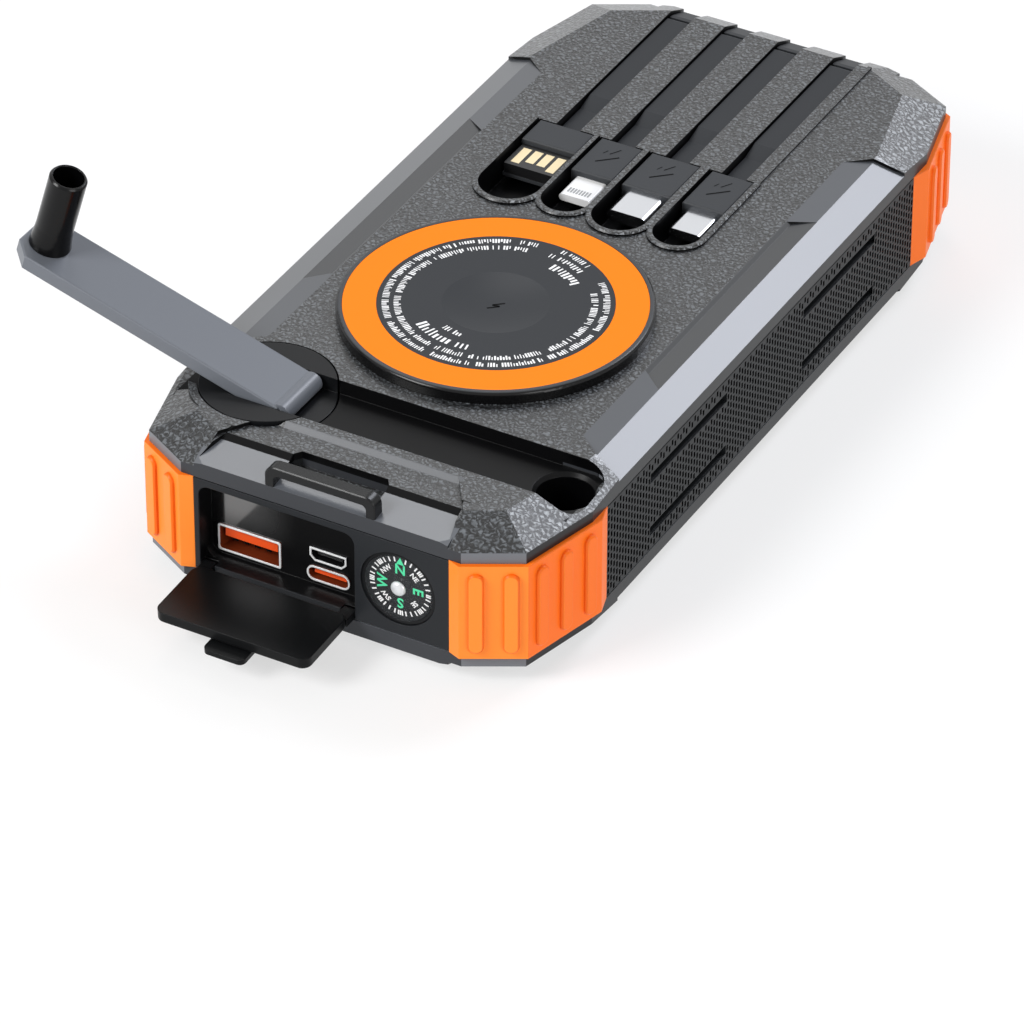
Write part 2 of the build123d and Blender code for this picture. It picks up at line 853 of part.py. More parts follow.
def make_door():
    """Drawn shut, then turned down to where it lies open."""
    x = (recess_x[0] + door_gap, recess_x[1] - door_gap)
    z = (recess_z[0] + door_hinge_rise, recess_z[1] - door_gap)
    y = (-end_half, -end_half + door_thick)
    plate = block(x, y, z)
    plate = fillet(plate.edges().filter_by(Axis.Y), recess_corner - door_gap)
    rim = plate.faces().sort_by(Axis.Y)[0].edges()
    plate = fillet(rim, 0.4)
    for ear in door_ears():
        leaf = rod_x(door_ear, ear, door_axis_y, door_axis_z)
        leaf += block(ear, (door_axis_y - door_ear, door_axis_y + door_ear), (door_axis_z, z[0] + 0.6))
        plate += leaf
    plate += rod_x(door_pin, (x[0] - 0.65, x[0] + 0.5), door_axis_y, door_axis_z)
    plate += rod_x(door_pin, (x[1] - 0.5, x[1] + 0.65), door_axis_y, door_axis_z)
    tab_x = ((x[0] + x[1]) / 2 - door_tab_width / 2, (x[0] + x[1]) / 2 + door_tab_width / 2)
    tab = block(
        tab_x, (y[0] - door_tab_proud, y[0] - 0.2), (z[1] - 3.0, z[1] + door_tab_reach)
    )
    tab = fillet(tab.edges().filter_by(Axis.Y).sort_by(Axis.Z)[-2:], 1.2)
    root = block(tab_x, (y[0] - 0.4, y[0] + 0.6), (z[1] - 3.0, z[1] - 0.8))
    plate += tab + root
    axis = Axis((0, door_axis_y, door_axis_z), (1, 0, 0))
    return plate.rotate(axis, door_open)


def make_compass():
    front = -end_half + 0.3
    back = front + compass_depth
    cup = rod_y(compass_radius, (front, back), compass_x, compass_z)
    cup -= rod_y(compass_radius - 0.7, (front - 1, back - 0.8), compass_x, compass_z)
    card_y = (front + 2.2, front + 2.9)
    cup += rod_y(0.5, (card_y[0] - 0.6, back - 0.4), compass_x, compass_z)
    card = rod_y(card_radius, card_y, compass_x, compass_z)
    boss = Pos(compass_x, card_y[0] + 0.3, compass_z) * Sphere(1.6)
    card += boss & block((0, side_half), (-end_half, card_y[0] + 0.3), (0, top_z))
    card -= rod_y(0.55, (card_y[0] - 0.75, card_y[1] + 1), compass_x, compass_z)
    rise = 0.9
    rim = compass_radius - 0.7 - fit
    ball = (rim**2 + rise**2) / (2 * rise)
    dome = Pos(compass_x, front - rise + ball, compass_z) * Sphere(ball)
    core = Pos(compass_x, front - rise + ball, compass_z) * Sphere(ball - 0.6)
    lens = (dome - core) & rod_y(rim, (front - 2, front + 0.5), compass_x, compass_z)
    return cup, card, lens


def make_torch_panel():
    low, high = frame_low + seam, frame_high - seam
    panel = block((-panel_half, panel_half), (frame_end, end_half), (low, high))
    for side in (-1, 1):
        panel -= rod_y(torch_radius + fit, (0, end_half + 1), side * torch_x, torch_z)
    panel -= rod_y(signal_radius + fit, (0, end_half + 1), 0, torch_z)
    return panel


def make_reflector(x):
    """A chrome bowl: a turned wall round the lamp, its neck standing on the board."""
    front, back = end_half - 0.2, end_half - torch_depth
    wall = 0.5
    outer = [
        (1.9, back),
        (2.6, back),
        (torch_radius - 0.6, front - 2.6),
        (torch_radius, front - 1.6),
        (torch_radius, front),
        (torch_radius - wall, front),
        (torch_radius - wall, front - 1.35),
        (torch_radius - wall - 0.3, front - 1.5),
        (torch_radius - 1.4, front - 3.0),
        (1.9, back + 0.9),
    ]
    drawn = make_face(Polyline(*[(r, 0, y) for r, y in outer], close=True))
    bowl = revolve(drawn, Axis.Z)
    return Pos(x, 0, torch_z) * Rot(-90, 0, 0) * bowl


def make_torch_lens(x):
    front = end_half - 0.2
    radius = torch_radius - 0.5 - fit
    disc = rod_y(radius, (front - 1.3, front - 0.5), x, torch_z)
    ball = (radius**2 + 0.8**2) / 1.6
    dome = Pos(x, front + 0.3 - ball, torch_z) * Sphere(ball)
    cap = dome & rod_y(radius, (front - 0.6, front + 1), x, torch_z)
    return disc + cap


# ---- crank ----


def make_hub():
    hub = rod(hub_radius, well_z, top_z, hub_x, crank_y)
    low = rod(shaft_radius, drive_high, well_z, hub_x, crank_y)
    foot = rod(foot_radius, plate_low, drive_high, hub_x, crank_y)
    sin_a, cos_a = math.sin(lift), math.cos(lift)
    under = (arm_thick / 2 + arm_rest_gap) / cos_a
    ramp_run = (top_z - hinge_z + under) / math.tan(lift)
    level_run = (trough_z - hinge_z + under) / math.tan(lift)
    right = hub_x + hub_radius + 1
    cut = side_prism(
        [
            (right, trough_z),
            (right, top_z + 1),
            (hinge_x - ramp_run - 2, top_z + 1),
            (hinge_x - ramp_run - 2, top_z + 0.5),
            (hinge_x - ramp_run, top_z),
            (hinge_x - level_run, trough_z),
        ],
        (crank_y - slot_half, crank_y + slot_half),
    )
    hub -= cut
    span = (crank_y - slot_half, crank_y + slot_half)
    hub -= rod_y(barrel_radius + barrel_gap, span, hinge_x, hinge_z)
    hub += low + foot
    hub -= rod_y(hinge_pin_radius + 0.02, (crank_y - 8.6, crank_y + 8.6), hinge_x, hinge_z)
    return hub


def make_arm():
    """Drawn along +X from the hinge at the origin, with the grip side up, then laid open."""
    half = arm_width / 2
    plan = [
        (0.6, -half),
        (arm_reach - arm_corner, -half),
        (arm_reach, -half + arm_corner),
        (arm_reach, half - arm_corner),
        (arm_reach - arm_corner, half),
        (0.6, half),
    ]
    arm = prism(plan, -arm_thick / 2, arm_thick / 2)
    arm = chamfer(arm.faces().sort_by(Axis.Z)[-1].edges(), 0.25)
    arm += rod_y(barrel_radius, (-half + 0.4, half - 0.4), 0, 0)
    arm += rod(grip_neck, 0, arm_thick / 2 + grip_shoulder + 0.25, grip_reach, 0)
    arm -= rod_y(hinge_pin_radius + fit, (-half - 1, half + 1), 0, 0)
    arm -= rod(0.92, -0.4, 20, grip_reach, 0)
    return open_arm(arm)


def make_grip():
    base = arm_thick / 2 + 0.1
    top = arm_thick / 2 + grip_length
    profile = Polyline(
        (grip_neck + fit, 0, base),
        (grip_foot, 0, base),
        (grip_foot - 0.15, 0, base + 1.0),
        (grip_radius + 0.12, 0, base + 2.6),
        (grip_radius, 0, base + 4.5),
        (grip_radius, 0, top - 0.4),
        (grip_radius - 0.3, 0, top),
        (grip_bore + 0.1, 0, top),
        (grip_bore, 0, top - 0.3),
        (grip_bore, 0, arm_thick / 2 + grip_shoulder),
        (grip_neck + fit, 0, arm_thick / 2 + grip_shoulder),
        close=True,
    )
    sleeve = revolve(make_face(profile), Axis.Z)
    return open_arm(Pos(grip_reach, 0, 0) * sleeve)


def make_grip_screw():
    seat = arm_thick / 2 + grip_shoulder + 0.25
    screw = rod(grip_bore - 0.25, seat, seat + 0.9, grip_reach, 0)
    screw += rod(0.9, -0.3, seat + 0.1, grip_reach, 0)
    screw -= block((grip_reach - 1.6, grip_reach + 1.6), (-0.3, 0.3), (seat + 0.5, seat + 2))
    return open_arm(screw)


def open_arm(shape):
    """Turns a piece from along +X to where the arm stands open, over the -X side."""
    turned = Rot(0, -(180 - arm_angle) + 180, 0) * Rot(0, 0, 180) * shape
    return Pos(hinge_x, crank_y, hinge_z) * turned


# ---- gear train ----


def gear(teeth, module, phase, low, high, x, y):
    """A spur gear with involute flanks; phase is the turn of one tooth's middle."""
    pitch = teeth * module / 2
    tip = pitch + 0.9 * module
    root = pitch - 1.2 * module
    base = pitch * math.cos(math.radians(pressure_angle))

    def involute(radius):
        bend = math.acos(min(base / radius, 1.0))
        return math.tan(bend) - bend

    half = math.pi / (2 * teeth) - tooth_slack / (2 * pitch)
    start = max(base, root)
    radii = [start + (tip - start) * step / 4 for step in range(5)]
    points = []
    for tooth in range(teeth):
        middle = math.radians(phase) + 2 * math.pi * tooth / teeth
        spread = [half + involute(pitch) - involute(radius) for radius in radii]
        flank = [(root, spread[0])] if root < start else []
        flank += list(zip(radii, spread))
        for radius, turn in flank:
            points.append((radius * math.cos(middle - turn), radius * math.sin(middle - turn)))
        for radius, turn in reversed(flank):
            points.append((radius * math.cos(middle + turn), radius * math.sin(middle + turn)))
    return Pos(x, y, 0) * prism(points, low, high)


drive_pitch = drive_teeth * drive_module / 2
pinion_pitch = pinion_teeth * drive_module / 2
wheel_pitch = wheel_teeth * wheel_module / 2
rotor_pitch = pinion_teeth * wheel_module / 2
idler_x = hub_x + drive_pitch + pinion_pitch
rotor_x = idler_x + wheel_pitch + rotor_pitch
half_step = 180 / pinion_teeth
drive_high = well_z - hub_gap - cover_skin - 0.3
drive_low = drive_high - gear_face
wheel_high = drive_low - 1.0
wheel_low = wheel_high - gear_face
plate_high = wheel_low - 0.4
plate_low = plate_high - gear_plate_thick
type_c_z = port_board_top + type_c_size[1] / 2
lead_floor = top_z - pocket_depth
lamp_rows = [button_y + 8 + lamp_pitch * step for step in range(4)]
screw_floor = screw_sink + cover_rise


def make_drive_gear():
    wheel = gear(drive_teeth, drive_module, 0, drive_low, drive_high, hub_x, crank_y)
    return wheel - rod(foot_radius, 0, top_z, hub_x, crank_y)


def make_idler():
    small = gear(pinion_teeth, drive_module, 180 + half_step, drive_low - 0.3, drive_high + 0.3, idler_x, crank_y)
    large = gear(wheel_teeth, wheel_module, 0, wheel_low, wheel_high, idler_x, crank_y)
    sleeve = rod(2.4, plate_high + 0.1, drive_high + 0.6, idler_x, crank_y)
    return small + large + sleeve - rod(idler_bore + fit, 0, top_z, idler_x, crank_y)


def make_gear_plate():
    plate = block(
        (hub_x - 2 * foot_radius, rotor_x + generator_radius),
        (crank_y - post_reach[0], crank_y + post_reach[1]),
        (plate_low, plate_high),
    )
    plate = fillet(plate.edges().filter_by(Axis.Z), post_radius * 1.7)
    for x, y in (
        (rotor_x + post_spread, crank_y + post_reach[1] - post_radius),
        (rotor_x + post_spread, crank_y - post_reach[0] + post_radius),
        (idler_x + post_radius, crank_y + post_reach[1] - post_radius),
    ):
        plate += rod(post_radius, plate_low, plate_post_top(y), x, y)
    plate += rod(idler_bore, plate_low, trough_z - trough_skin + 0.1, idler_x, crank_y)
    plate -= rod(foot_radius + fit, 0, plate_high + 1, hub_x, crank_y)
    return plate - rod(rotor_shaft + 1.2, 0, plate_high + 1, rotor_x, crank_y)


def plate_post_top(y):
    """Posts stand up to the underside of the trough, or of the cover beside it."""
    beside = abs(y - crank_y) > slot_half + 1.5 + post_radius
    return top_z - cover_skin if beside else trough_z - trough_skin


def make_generator():
    low = plate_low - 10.4
    can = rod(generator_radius, low, plate_low, rotor_x, crank_y)
    can -= rod(generator_radius - generator_skin, low + generator_skin, plate_low - generator_skin, rotor_x, crank_y)
    can -= rod(rotor_shaft + fit, low + 0.5, plate_low + 1, rotor_x, crank_y)
    stator = rod(generator_radius - generator_skin - fit, low + 1.6, plate_low - 1.6, rotor_x, crank_y)
    stator -= rod(rotor_radius + 0.5, 0, top_z, rotor_x, crank_y)
    rotor = rod(rotor_radius, low + 1.9, plate_low - 1.9, rotor_x, crank_y)
    rotor += rod(rotor_shaft, low + 0.6, wheel_high, rotor_x, crank_y)
    rotor += gear(pinion_teeth, wheel_module, 180 + half_step, wheel_low - 0.2, wheel_high + 0.2, rotor_x, crank_y)
    return can, stator, rotor


# ---- charging pad ----


def make_pad():
    top = top_z + pad_height
    base = rod(pad_radius, top_z, top, 0, pad_y)
    base = fillet(base.edges().sort_by(Axis.Z)[-1], 0.7)
    base -= rod(ring_outer + fit, top - ring_thick, top + 1, 0, pad_y)
    ring = rod(ring_outer, top - ring_thick, top - 0.05, 0, pad_y)
    ring -= rod(ring_inner, top - 2, top + 1, 0, pad_y)
    face = rod(ring_inner - fit, top - ring_thick, top - 0.05, 0, pad_y)
    ball = (dish_radius**2 + dish_depth**2) / (2 * dish_depth)
    dish = Pos(0, pad_y, top - 0.05 - dish_depth + ball) * Sphere(ball)
    base -= rod(dish_radius + 1, top - ring_thick - 0.9, top, 0, pad_y)
    face += rod(dish_radius + 1 - fit, top - ring_thick - 0.9, top - ring_thick, 0, pad_y)
    return base, ring, face - dish


def make_coil_set():
    high = top_z - cover_skin
    coil = rod(coil_outer, high - coil_thick, high, 0, pad_y)
    coil -= rod(coil_inner, 0, top_z, 0, pad_y)
    ferrite = rod(coil_outer + 0.6, high - coil_thick - 1.0, high - coil_thick, 0, pad_y)
    magnets = []
    for step in range(magnet_count):
        turn = 360 * step / magnet_count
        magnet = Box(magnet_size, magnet_size * 2, 1.4)
        magnets.append(Pos(0, pad_y, high - 0.7) * Rot(0, 0, turn) * Pos(magnet_mid, 0, 0) * magnet)
    return coil, ferrite, magnets


# ---- leads ----


def strap_heights():
    """Top of the strap along its level run, and in the dip beside the plug."""
    level = top_z - strap_drop
    return level, level - strap_kink


def make_plug(number):
    x = lead_x[number]
    half = plug_width[number] / 2
    top = top_z + block_proud
    body = block((x - half, x + half), (block_start[number], block_end), (top - block_thick, top))
    body = chamfer(body.faces().sort_by(Axis.Z)[-1].edges(), 0.3)
    if number == 0:
        lip = block((x - half, x + half), (block_start[0] - tip_length[0], block_start[0]), (top - 4.2, top - 3.4))
        body += lip
    return body


def make_tip(number):
    x = lead_x[number]
    half = tip_width[number] / 2
    thick = tip_thick[number]
    mid = top_z + block_proud - block_thick / 2 - (0.2 if number == 0 else 0.0)
    y = (block_start[number] - tip_length[number], block_start[number])
    if number == 0:
        return block((x - half + 0.3, x + half - 0.3), y, (mid - thick / 2 - 0.0, mid + thick / 2))
    corner = thick / 2 - 0.05
    drawn = Plane.XZ * RectangleRounded(2 * half, thick, corner)
    return Pos(x, y[1], mid) * extrude(drawn, y[1] - y[0])


def make_strap(number):
    """The lead from its plug to the bend at the torch end."""
    level, low = strap_heights()
    x = lead_x[number]
    points = [
        (block_end, low),
        (strap_kink_y - 4, low),
        (strap_kink_y, level),
        (strap_end_y - strap_thick / 2, level),
        (strap_end_y - strap_thick / 2, level - strap_thick),
        (strap_kink_y, level - strap_thick),
        (strap_kink_y - 4, low - strap_thick),
        (block_end, low - strap_thick),
    ]
    span = (x - strap_width / 2, x + strap_width / 2)
    strap = end_prism(points, span)
    strap += rod_x(strap_thick / 2, span, strap_end_y - strap_thick / 2, level - strap_thick / 2)
    return strap


def make_root(number):
    """The fixed end of the lead: over the shoulder and down into the casing."""
    level, low = strap_heights()
    x = lead_x[number]
    start = strap_end_y + 0.35
    outer = end_half - 0.15
    inner = outer - strap_thick
    points = [
        (start, level - 0.15),
        (start + 1.2, level - 0.35),
        (outer - 0.5, level - 2.1),
        (outer, level - 3.0),
        (outer, frame_high + 0.05),
        (inner, frame_high + 0.05),
        (inner, level - strap_thick - 2.6),
        (inner - 0.7, level - strap_thick - 1.9),
        (start, level - strap_thick),
    ]
    return end_prism(points, (x - strap_width / 2, x + strap_width / 2))


# ---- small pieces ----


def loop_pocket():
    """Room behind the lanyard loop for the cord, with a notch back into the band."""
    front = -end_half + loop_depth
    back = -end_half + lip_back
    half = cord_pocket_half
    plan = [
        (-half - 1, front),
        (-half - 1, back),
        (-half - 1, back + cord_notch / 2),
        (-half, back + cord_notch),
        (half - 1, back + cord_notch),
        (half, back + cord_notch / 2),
        (half, front),
    ]
    return prism(plan, top_z - cord_pocket_depth, top_z + 1)


def make_loop():
    """An arch that stands in the end recess, flush with the end."""
    foot = lip_height(end_half) - 0.5
    crown = lip_height(end_half) + loop_height
    y = (-end_half, -end_half + loop_depth)
    arch = block((-loop_half, loop_half), y, (foot, crown))
    arch = fillet(arch.edges().filter_by(Axis.Y).sort_by(Axis.Z)[-2:], loop_corner)
    inner = loop_half - loop_bar
    slot = block((-inner, inner), (y[0] - 1, y[1] + 1), (foot - 1, crown - loop_bar))
    slot = fillet(slot.edges().filter_by(Axis.Y).sort_by(Axis.Z)[-2:], loop_corner / 2)
    rim = arch.faces().sort_by(Axis.Y)[0].edges() + arch.faces().sort_by(Axis.Y)[-1].edges()
    arch = chamfer(rim, 0.25) - slot
    low_back = -end_half + lip_back
    below = end_prism(
        [
            (-end_half - 1, foot - 1),
            (low_back, foot - 1),
            (low_back, lip_height(-low_back)),
            (-end_half - 1, lip_height(end_half + 1)),
        ],
        (-loop_half - 1, loop_half + 1),
    )
    return arch - below


def button_hole():
    hole = Plane.YZ * RectangleRounded(button_length + 0.4, button_height + 0.4, button_height / 2)
    return Pos(-side_half - 1, button_y, mid_z) * extrude(hole, 8)


def make_button():
    cap = Plane.YZ * RectangleRounded(button_length, button_height, button_height / 2 - 0.1)
    button = Pos(-side_half - 0.8, button_y, mid_z) * extrude(cap, 0.8 + side_half - frame_side + frame_skin + 0.5)
    button = fillet(button.faces().sort_by(Axis.X)[0].edges(), 0.3)
    inner = -frame_side + frame_skin + 0.1
    flange = block(
        (inner, inner + 0.8),
        (button_y - button_length / 2 - 1, button_y + button_length / 2 + 1),
        (mid_z - button_height / 2 - 1, mid_z + button_height / 2 + 1),
    )
    return button + flange


def make_screws():
    screws = []
    for x, y in screw_spots():
        screw = rod(screw_head, screw_floor - 1.3, screw_floor, x, y)
        screw += rod(screw_shank, screw_floor, frame_high + 2.2, x, y)
        low = screw_floor - 2
        for turn in (0, 90):
            screw -= Pos(x, y, low + 0.6) * Rot(0, 0, turn) * Box(2.2, 0.5, 1.6)
        screws.append(screw)
    return screws


def make_boards():
    main = block((-36.0, 36.0), (-40, 56), (board_z, board_z + board_thick))
    port = block(
        (recess_x[0] + 1, recess_x[1] - 0.5),
        (-end_half + recess_depth + tray_skin, crank_y - generator_radius - 0.6),
        (port_board_top - board_thick, port_board_top),
    )
    back = end_half - torch_depth
    torch = block((-19, 19), (back - board_thick, back), (torch_z - 6.5, torch_z + 6.5))
    return [main, port, torch]


def make_components():
    top = board_z + board_thick
    chips = [
        ((-28, -20), (34, 42), 1.2),
        ((-12, -4), (30, 40), 2.8),
        ((2, 10), (30, 40), 2.8),
        ((20, 27), (32, 40), 1.2),
        ((-30, -26), (16, 26), 2.2),
        ((24, 28), (12, 22), 2.2),
    ]
    return [block(x, y, (top, top + height)) for x, y, height in chips]


def make_cells():
    floor = solar_thick + 1.5
    cells = []
    for side in (-1, 1):
        middle = side * (cell_size[0] / 2 + 0.5)
        cell = Pos(middle, cell_y, floor + cell_size[2] / 2) * Box(*cell_size)
        cells.append(fillet(cell.edges().filter_by(Axis.Y), 2.5))
    return cells


def make_solar():
    plan = RectangleRounded(2 * solar_half_x, 2 * solar_half_y, solar_corner)
    return extrude(plan, solar_thick)


def write(name, shape):
    if isinstance(shape, list):
        shape = Compound(children=[piece.solids()[0] for piece in shape])
    export_step(shape, f"parts/{name}.step")


def main():
    os.makedirs("parts", exist_ok=True)
    write("top_cover", make_top_cover())
    write("bottom_cover", make_bottom_cover())
    write("mid_frame", make_frame())
    write("side_grilles", [make_grille(side) for side in (-1, 1)])
    for side, side_name in ((-1, "left"), (1, "right")):
        for end, end_name in ((-1, "socket"), (1, "torch")):
            write(f"bumper_{end_name}_{side_name}", make_bumper(side, end))
    write("solar_panel", make_solar())
    write("case_screws", make_screws())
    base, ring, face = make_pad()
    write("pad_base", base)
    write("pad_ring", ring)
    write("pad_face", face)
    coil, ferrite, magnets = make_coil_set()
    write("charge_coil", coil)
    write("ferrite_plate", ferrite)
    write("pad_magnets", magnets)
    write("battery_cells", make_cells())
    write("circuit_boards", make_boards())
    write("board_parts", make_components())
    write("socket_panel", make_port_panel())
    usb_z = port_board_top + usb_a_size[1] / 2
    write("usb_a_shell", make_shell(usb_a_x, usb_z, usb_a_size, port_sheet))
    write("usb_c_shell", make_shell(small_port_x, type_c_z, type_c_size, port_sheet))
    write("micro_usb_shell", make_shell(small_port_x, type_c_z + small_port_pitch, micro_size, port_sheet))
    write("port_tongues", make_tongues())
    cup, card, lens = make_compass()
    write("compass_cup", cup)
    write("compass_card", card)
    write("compass_lens", lens)
    write("port_door", make_door())
    write("torch_panel", make_torch_panel())
    write("torch_reflectors", [make_reflector(side * torch_x) for side in (-1, 1)])
    write("torch_lenses", [make_torch_lens(side * torch_x) for side in (-1, 1)])
    back = end_half - torch_depth
    lamps = [
        block((x - 1.3, x + 1.3), (back, back + 1.0), (torch_z - 1.3, torch_z + 1.3))
        for x in (-torch_x, torch_x)
    ]
    write("torch_lamps", lamps)
    signal = rod_y(signal_radius, (back, end_half - 0.2), 0, torch_z)
    signal += Pos(0, end_half - 0.2, torch_z) * Sphere(signal_radius * 0.98)
    write("signal_lamp", signal)
    write("lanyard_loop", make_loop())
    write("crank_hub", make_hub())
    write("drive_gear", make_drive_gear())
    write("crank_arm", make_arm())
    pin = rod_y(hinge_pin_radius, (crank_y - 8.5, crank_y + 8.5), hinge_x, hinge_z)
    write("arm_hinge_pin", pin)
    write("grip_sleeve", make_grip())
    write("grip_screw", make_grip_screw())
    write("gear_plate", make_gear_plate())
    write("idler_gear", make_idler())
    can, stator, rotor = make_generator()
    write("generator_can", can)
    write("generator_stator", stator)
    write("generator_rotor", rotor)
    write("power_button", make_button())
    lights = [rod_x(lamp_radius, (-side_half - 0.1, -side_half + 1.6), y, mid_z) for y in lamp_rows]
    write("charge_lights", lights)
    write("lead_roots", [make_root(number) for number in range(len(lead_x))])
    names = ["usb_a", "small_tip", "type_c", "micro_usb"]
    for number, name in enumerate(names):
        write(f"{name}_lead", make_strap(number))
        write(f"{name}_plug", make_plug(number))
        write(f"{name}_tip", make_tip(number))


main()
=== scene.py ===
import math

import bpy
import numpy as np
from mathutils import Matrix, Vector


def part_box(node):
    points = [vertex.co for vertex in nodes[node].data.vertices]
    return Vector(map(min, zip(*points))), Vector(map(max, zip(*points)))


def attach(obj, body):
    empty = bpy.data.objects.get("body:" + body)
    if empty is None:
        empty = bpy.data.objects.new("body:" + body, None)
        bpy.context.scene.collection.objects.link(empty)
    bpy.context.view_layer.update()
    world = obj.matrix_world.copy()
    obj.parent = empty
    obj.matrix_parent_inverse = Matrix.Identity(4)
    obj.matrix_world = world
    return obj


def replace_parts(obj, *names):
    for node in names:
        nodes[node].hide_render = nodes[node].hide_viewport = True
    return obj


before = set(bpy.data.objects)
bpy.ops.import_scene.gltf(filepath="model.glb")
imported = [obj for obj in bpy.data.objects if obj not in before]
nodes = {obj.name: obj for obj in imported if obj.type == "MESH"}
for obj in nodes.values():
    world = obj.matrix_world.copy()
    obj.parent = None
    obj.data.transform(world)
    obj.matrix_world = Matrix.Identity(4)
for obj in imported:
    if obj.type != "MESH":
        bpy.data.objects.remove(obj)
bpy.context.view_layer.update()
mm = 0.001  # the scene is in metres, the notes are in millimetres
midHeight = 15.9  # height of the casing's middle, where its lamps and sockets are
print("frame loaded:", len(nodes), "nodes")


def boxOf(name):
    # the two far corners of a node's box, in millimetres
    return [np.array(corner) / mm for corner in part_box(name)]


def srgb(text, alpha=1.0):
    # a colour as it is seen on the screen, turned into the shader's linear values
    parts = np.array([int(text[i : i + 2], 16) for i in (1, 3, 5)]) / 255
    linear = np.where(parts < 0.04045, parts / 12.92, ((parts + 0.055) / 1.055) ** 2.4)
    return (*linear.tolist(), alpha)


class Signal:
    # an output socket; arithmetic between signals and numbers adds Math nodes
    def __init__(self, owner, socket):
        self.owner = owner
        self.socket = socket

    def maths(self, operation, *values):
        return self.owner.node("ShaderNodeMath", {"operation": operation}, dict(enumerate(values)))

    def __add__(self, other):
        return self.maths("ADD", self, other)

    def __radd__(self, other):
        return self.maths("ADD", other, self)

    def __sub__(self, other):
        return self.maths("SUBTRACT", self, other)

    def __rsub__(self, other):
        return self.maths("SUBTRACT", other, self)

    def __mul__(self, other):
        return self.maths("MULTIPLY", self, other)

    def __rmul__(self, other):
        return self.maths("MULTIPLY", other, self)

    def __pow__(self, other):
        return self.maths("POWER", self, other)

    def __gt__(self, other):
        return self.maths("GREATER_THAN", self, other)

    def __lt__(self, other):
        return self.maths("LESS_THAN", self, other)

    def __abs__(self):
        return self.maths("ABSOLUTE", self)

    def least(self, other):
        return self.maths("MINIMUM", self, other)

    def most(self, other):
        return self.maths("MAXIMUM", self, other)

    def repeat(self, length):
        # where this value stands in its own length, from 0 to length
        return self.maths("FLOORED_MODULO", self, length)

    def rise(self, low, high):
        # 0 below low, 1 above high, and smooth between them
        ends = {"Value": self, "From Min": low, "From Max": high}
        return self.owner.node("ShaderNodeMapRange", {"interpolation_type": "SMOOTHSTEP"}, ends)

    def within(self, low, high, soft):
        # 1 between low and high, with soft sides
        return self.rise(low - soft, low + soft) * (1 - self.rise(high - soft, high + soft))


class NodeTree:
    # node() adds a node with its settings and values, and put() sets a socket or links it
    def __init__(self, tree):
        self.tree = tree

    def put(self, socket, value):
        if isinstance(value, Signal):
            self.tree.links.new(value.socket, socket)
        else:
            socket.default_value = value

    def node(self, kind, settings=None, values=None, out=0):
        made = self.tree.nodes.new(kind)
        for name, value in (settings or {}).items():
            setattr(made, name, value)
        for name, value in (values or {}).items():
            self.put(made.inputs[name], value)
        return Signal(self, made.outputs[out])


class Paint(NodeTree):
    # one material, whose shader's sockets are set by shade()
    def __init__(self, name):
        self.material = bpy.data.materials.new(name)
        self.material.use_nodes = True
        super().__init__(self.material.node_tree)
        self.shader = self.tree.nodes["Principled BSDF"]

    def split(self, vector):
        return [self.node("ShaderNodeSeparateXYZ", {}, {0: vector}, axis) for axis in range(3)]

    def vector(self, operation, *values, **named):
        values = {**dict(enumerate(values)), **named}
        return self.node("ShaderNodeVectorMath", {"operation": operation}, values)

    def place(self):
        # the point on the piece in millimetres, and its three numbers
        point = self.vector("SCALE", self.node("ShaderNodeTexCoord", out="Object"), Scale=1 / mm)
        return point, *self.split(point)

    def facing(self):
        # how squarely the face looks along each of the three axes
        return self.split(self.node("ShaderNodeTexCoord", out="Normal"))

    def mix(self, factor, first, second):
        values = {"Factor": factor, 6: first, 7: second}
        return self.node("ShaderNodeMix", {"data_type": "RGBA"}, values, 2)

    def noise(self, point, size, detail=2.0, rough=0.5, twist=0.0):
        values = {"Vector": point, "Scale": 1 / size, "Detail": detail, "Roughness": rough}
        return self.node("ShaderNodeTexNoise", {}, {**values, "Distortion": twist})

    def grooves(self, point, size):
        # how far a point lies from the border between two cells
        values = {"Vector": point, "Scale": 1 / size}
        return self.node("ShaderNodeTexVoronoi", {"feature": "DISTANCE_TO_EDGE"}, values)

    def bump(self, height, strength, depth, normal=None):
        values = {"Height": height, "Strength": strength, "Distance": depth * mm}
        if normal:
            values["Normal"] = normal
        return self.node("ShaderNodeBump", {}, values)

    def rounded(self, radius):
        return self.node("ShaderNodeBevel", {"samples": 6}, {"Radius": radius * mm})

    def shade(self, **sockets):
        for name, value in sockets.items():
            self.put(self.shader.inputs[name.replace("_", " ")], value)
        return self.material


def plainPaint(name, tone, rough, metal=0.0, edge=0.0, shine=0.5, **more):
    paint = Paint(name)
    if edge:
        more["Normal"] = paint.rounded(edge)
    more["Specular_IOR_Level"] = shine
    return paint.shade(Base_Color=srgb(tone), Roughness=rough, Metallic=metal, **more)


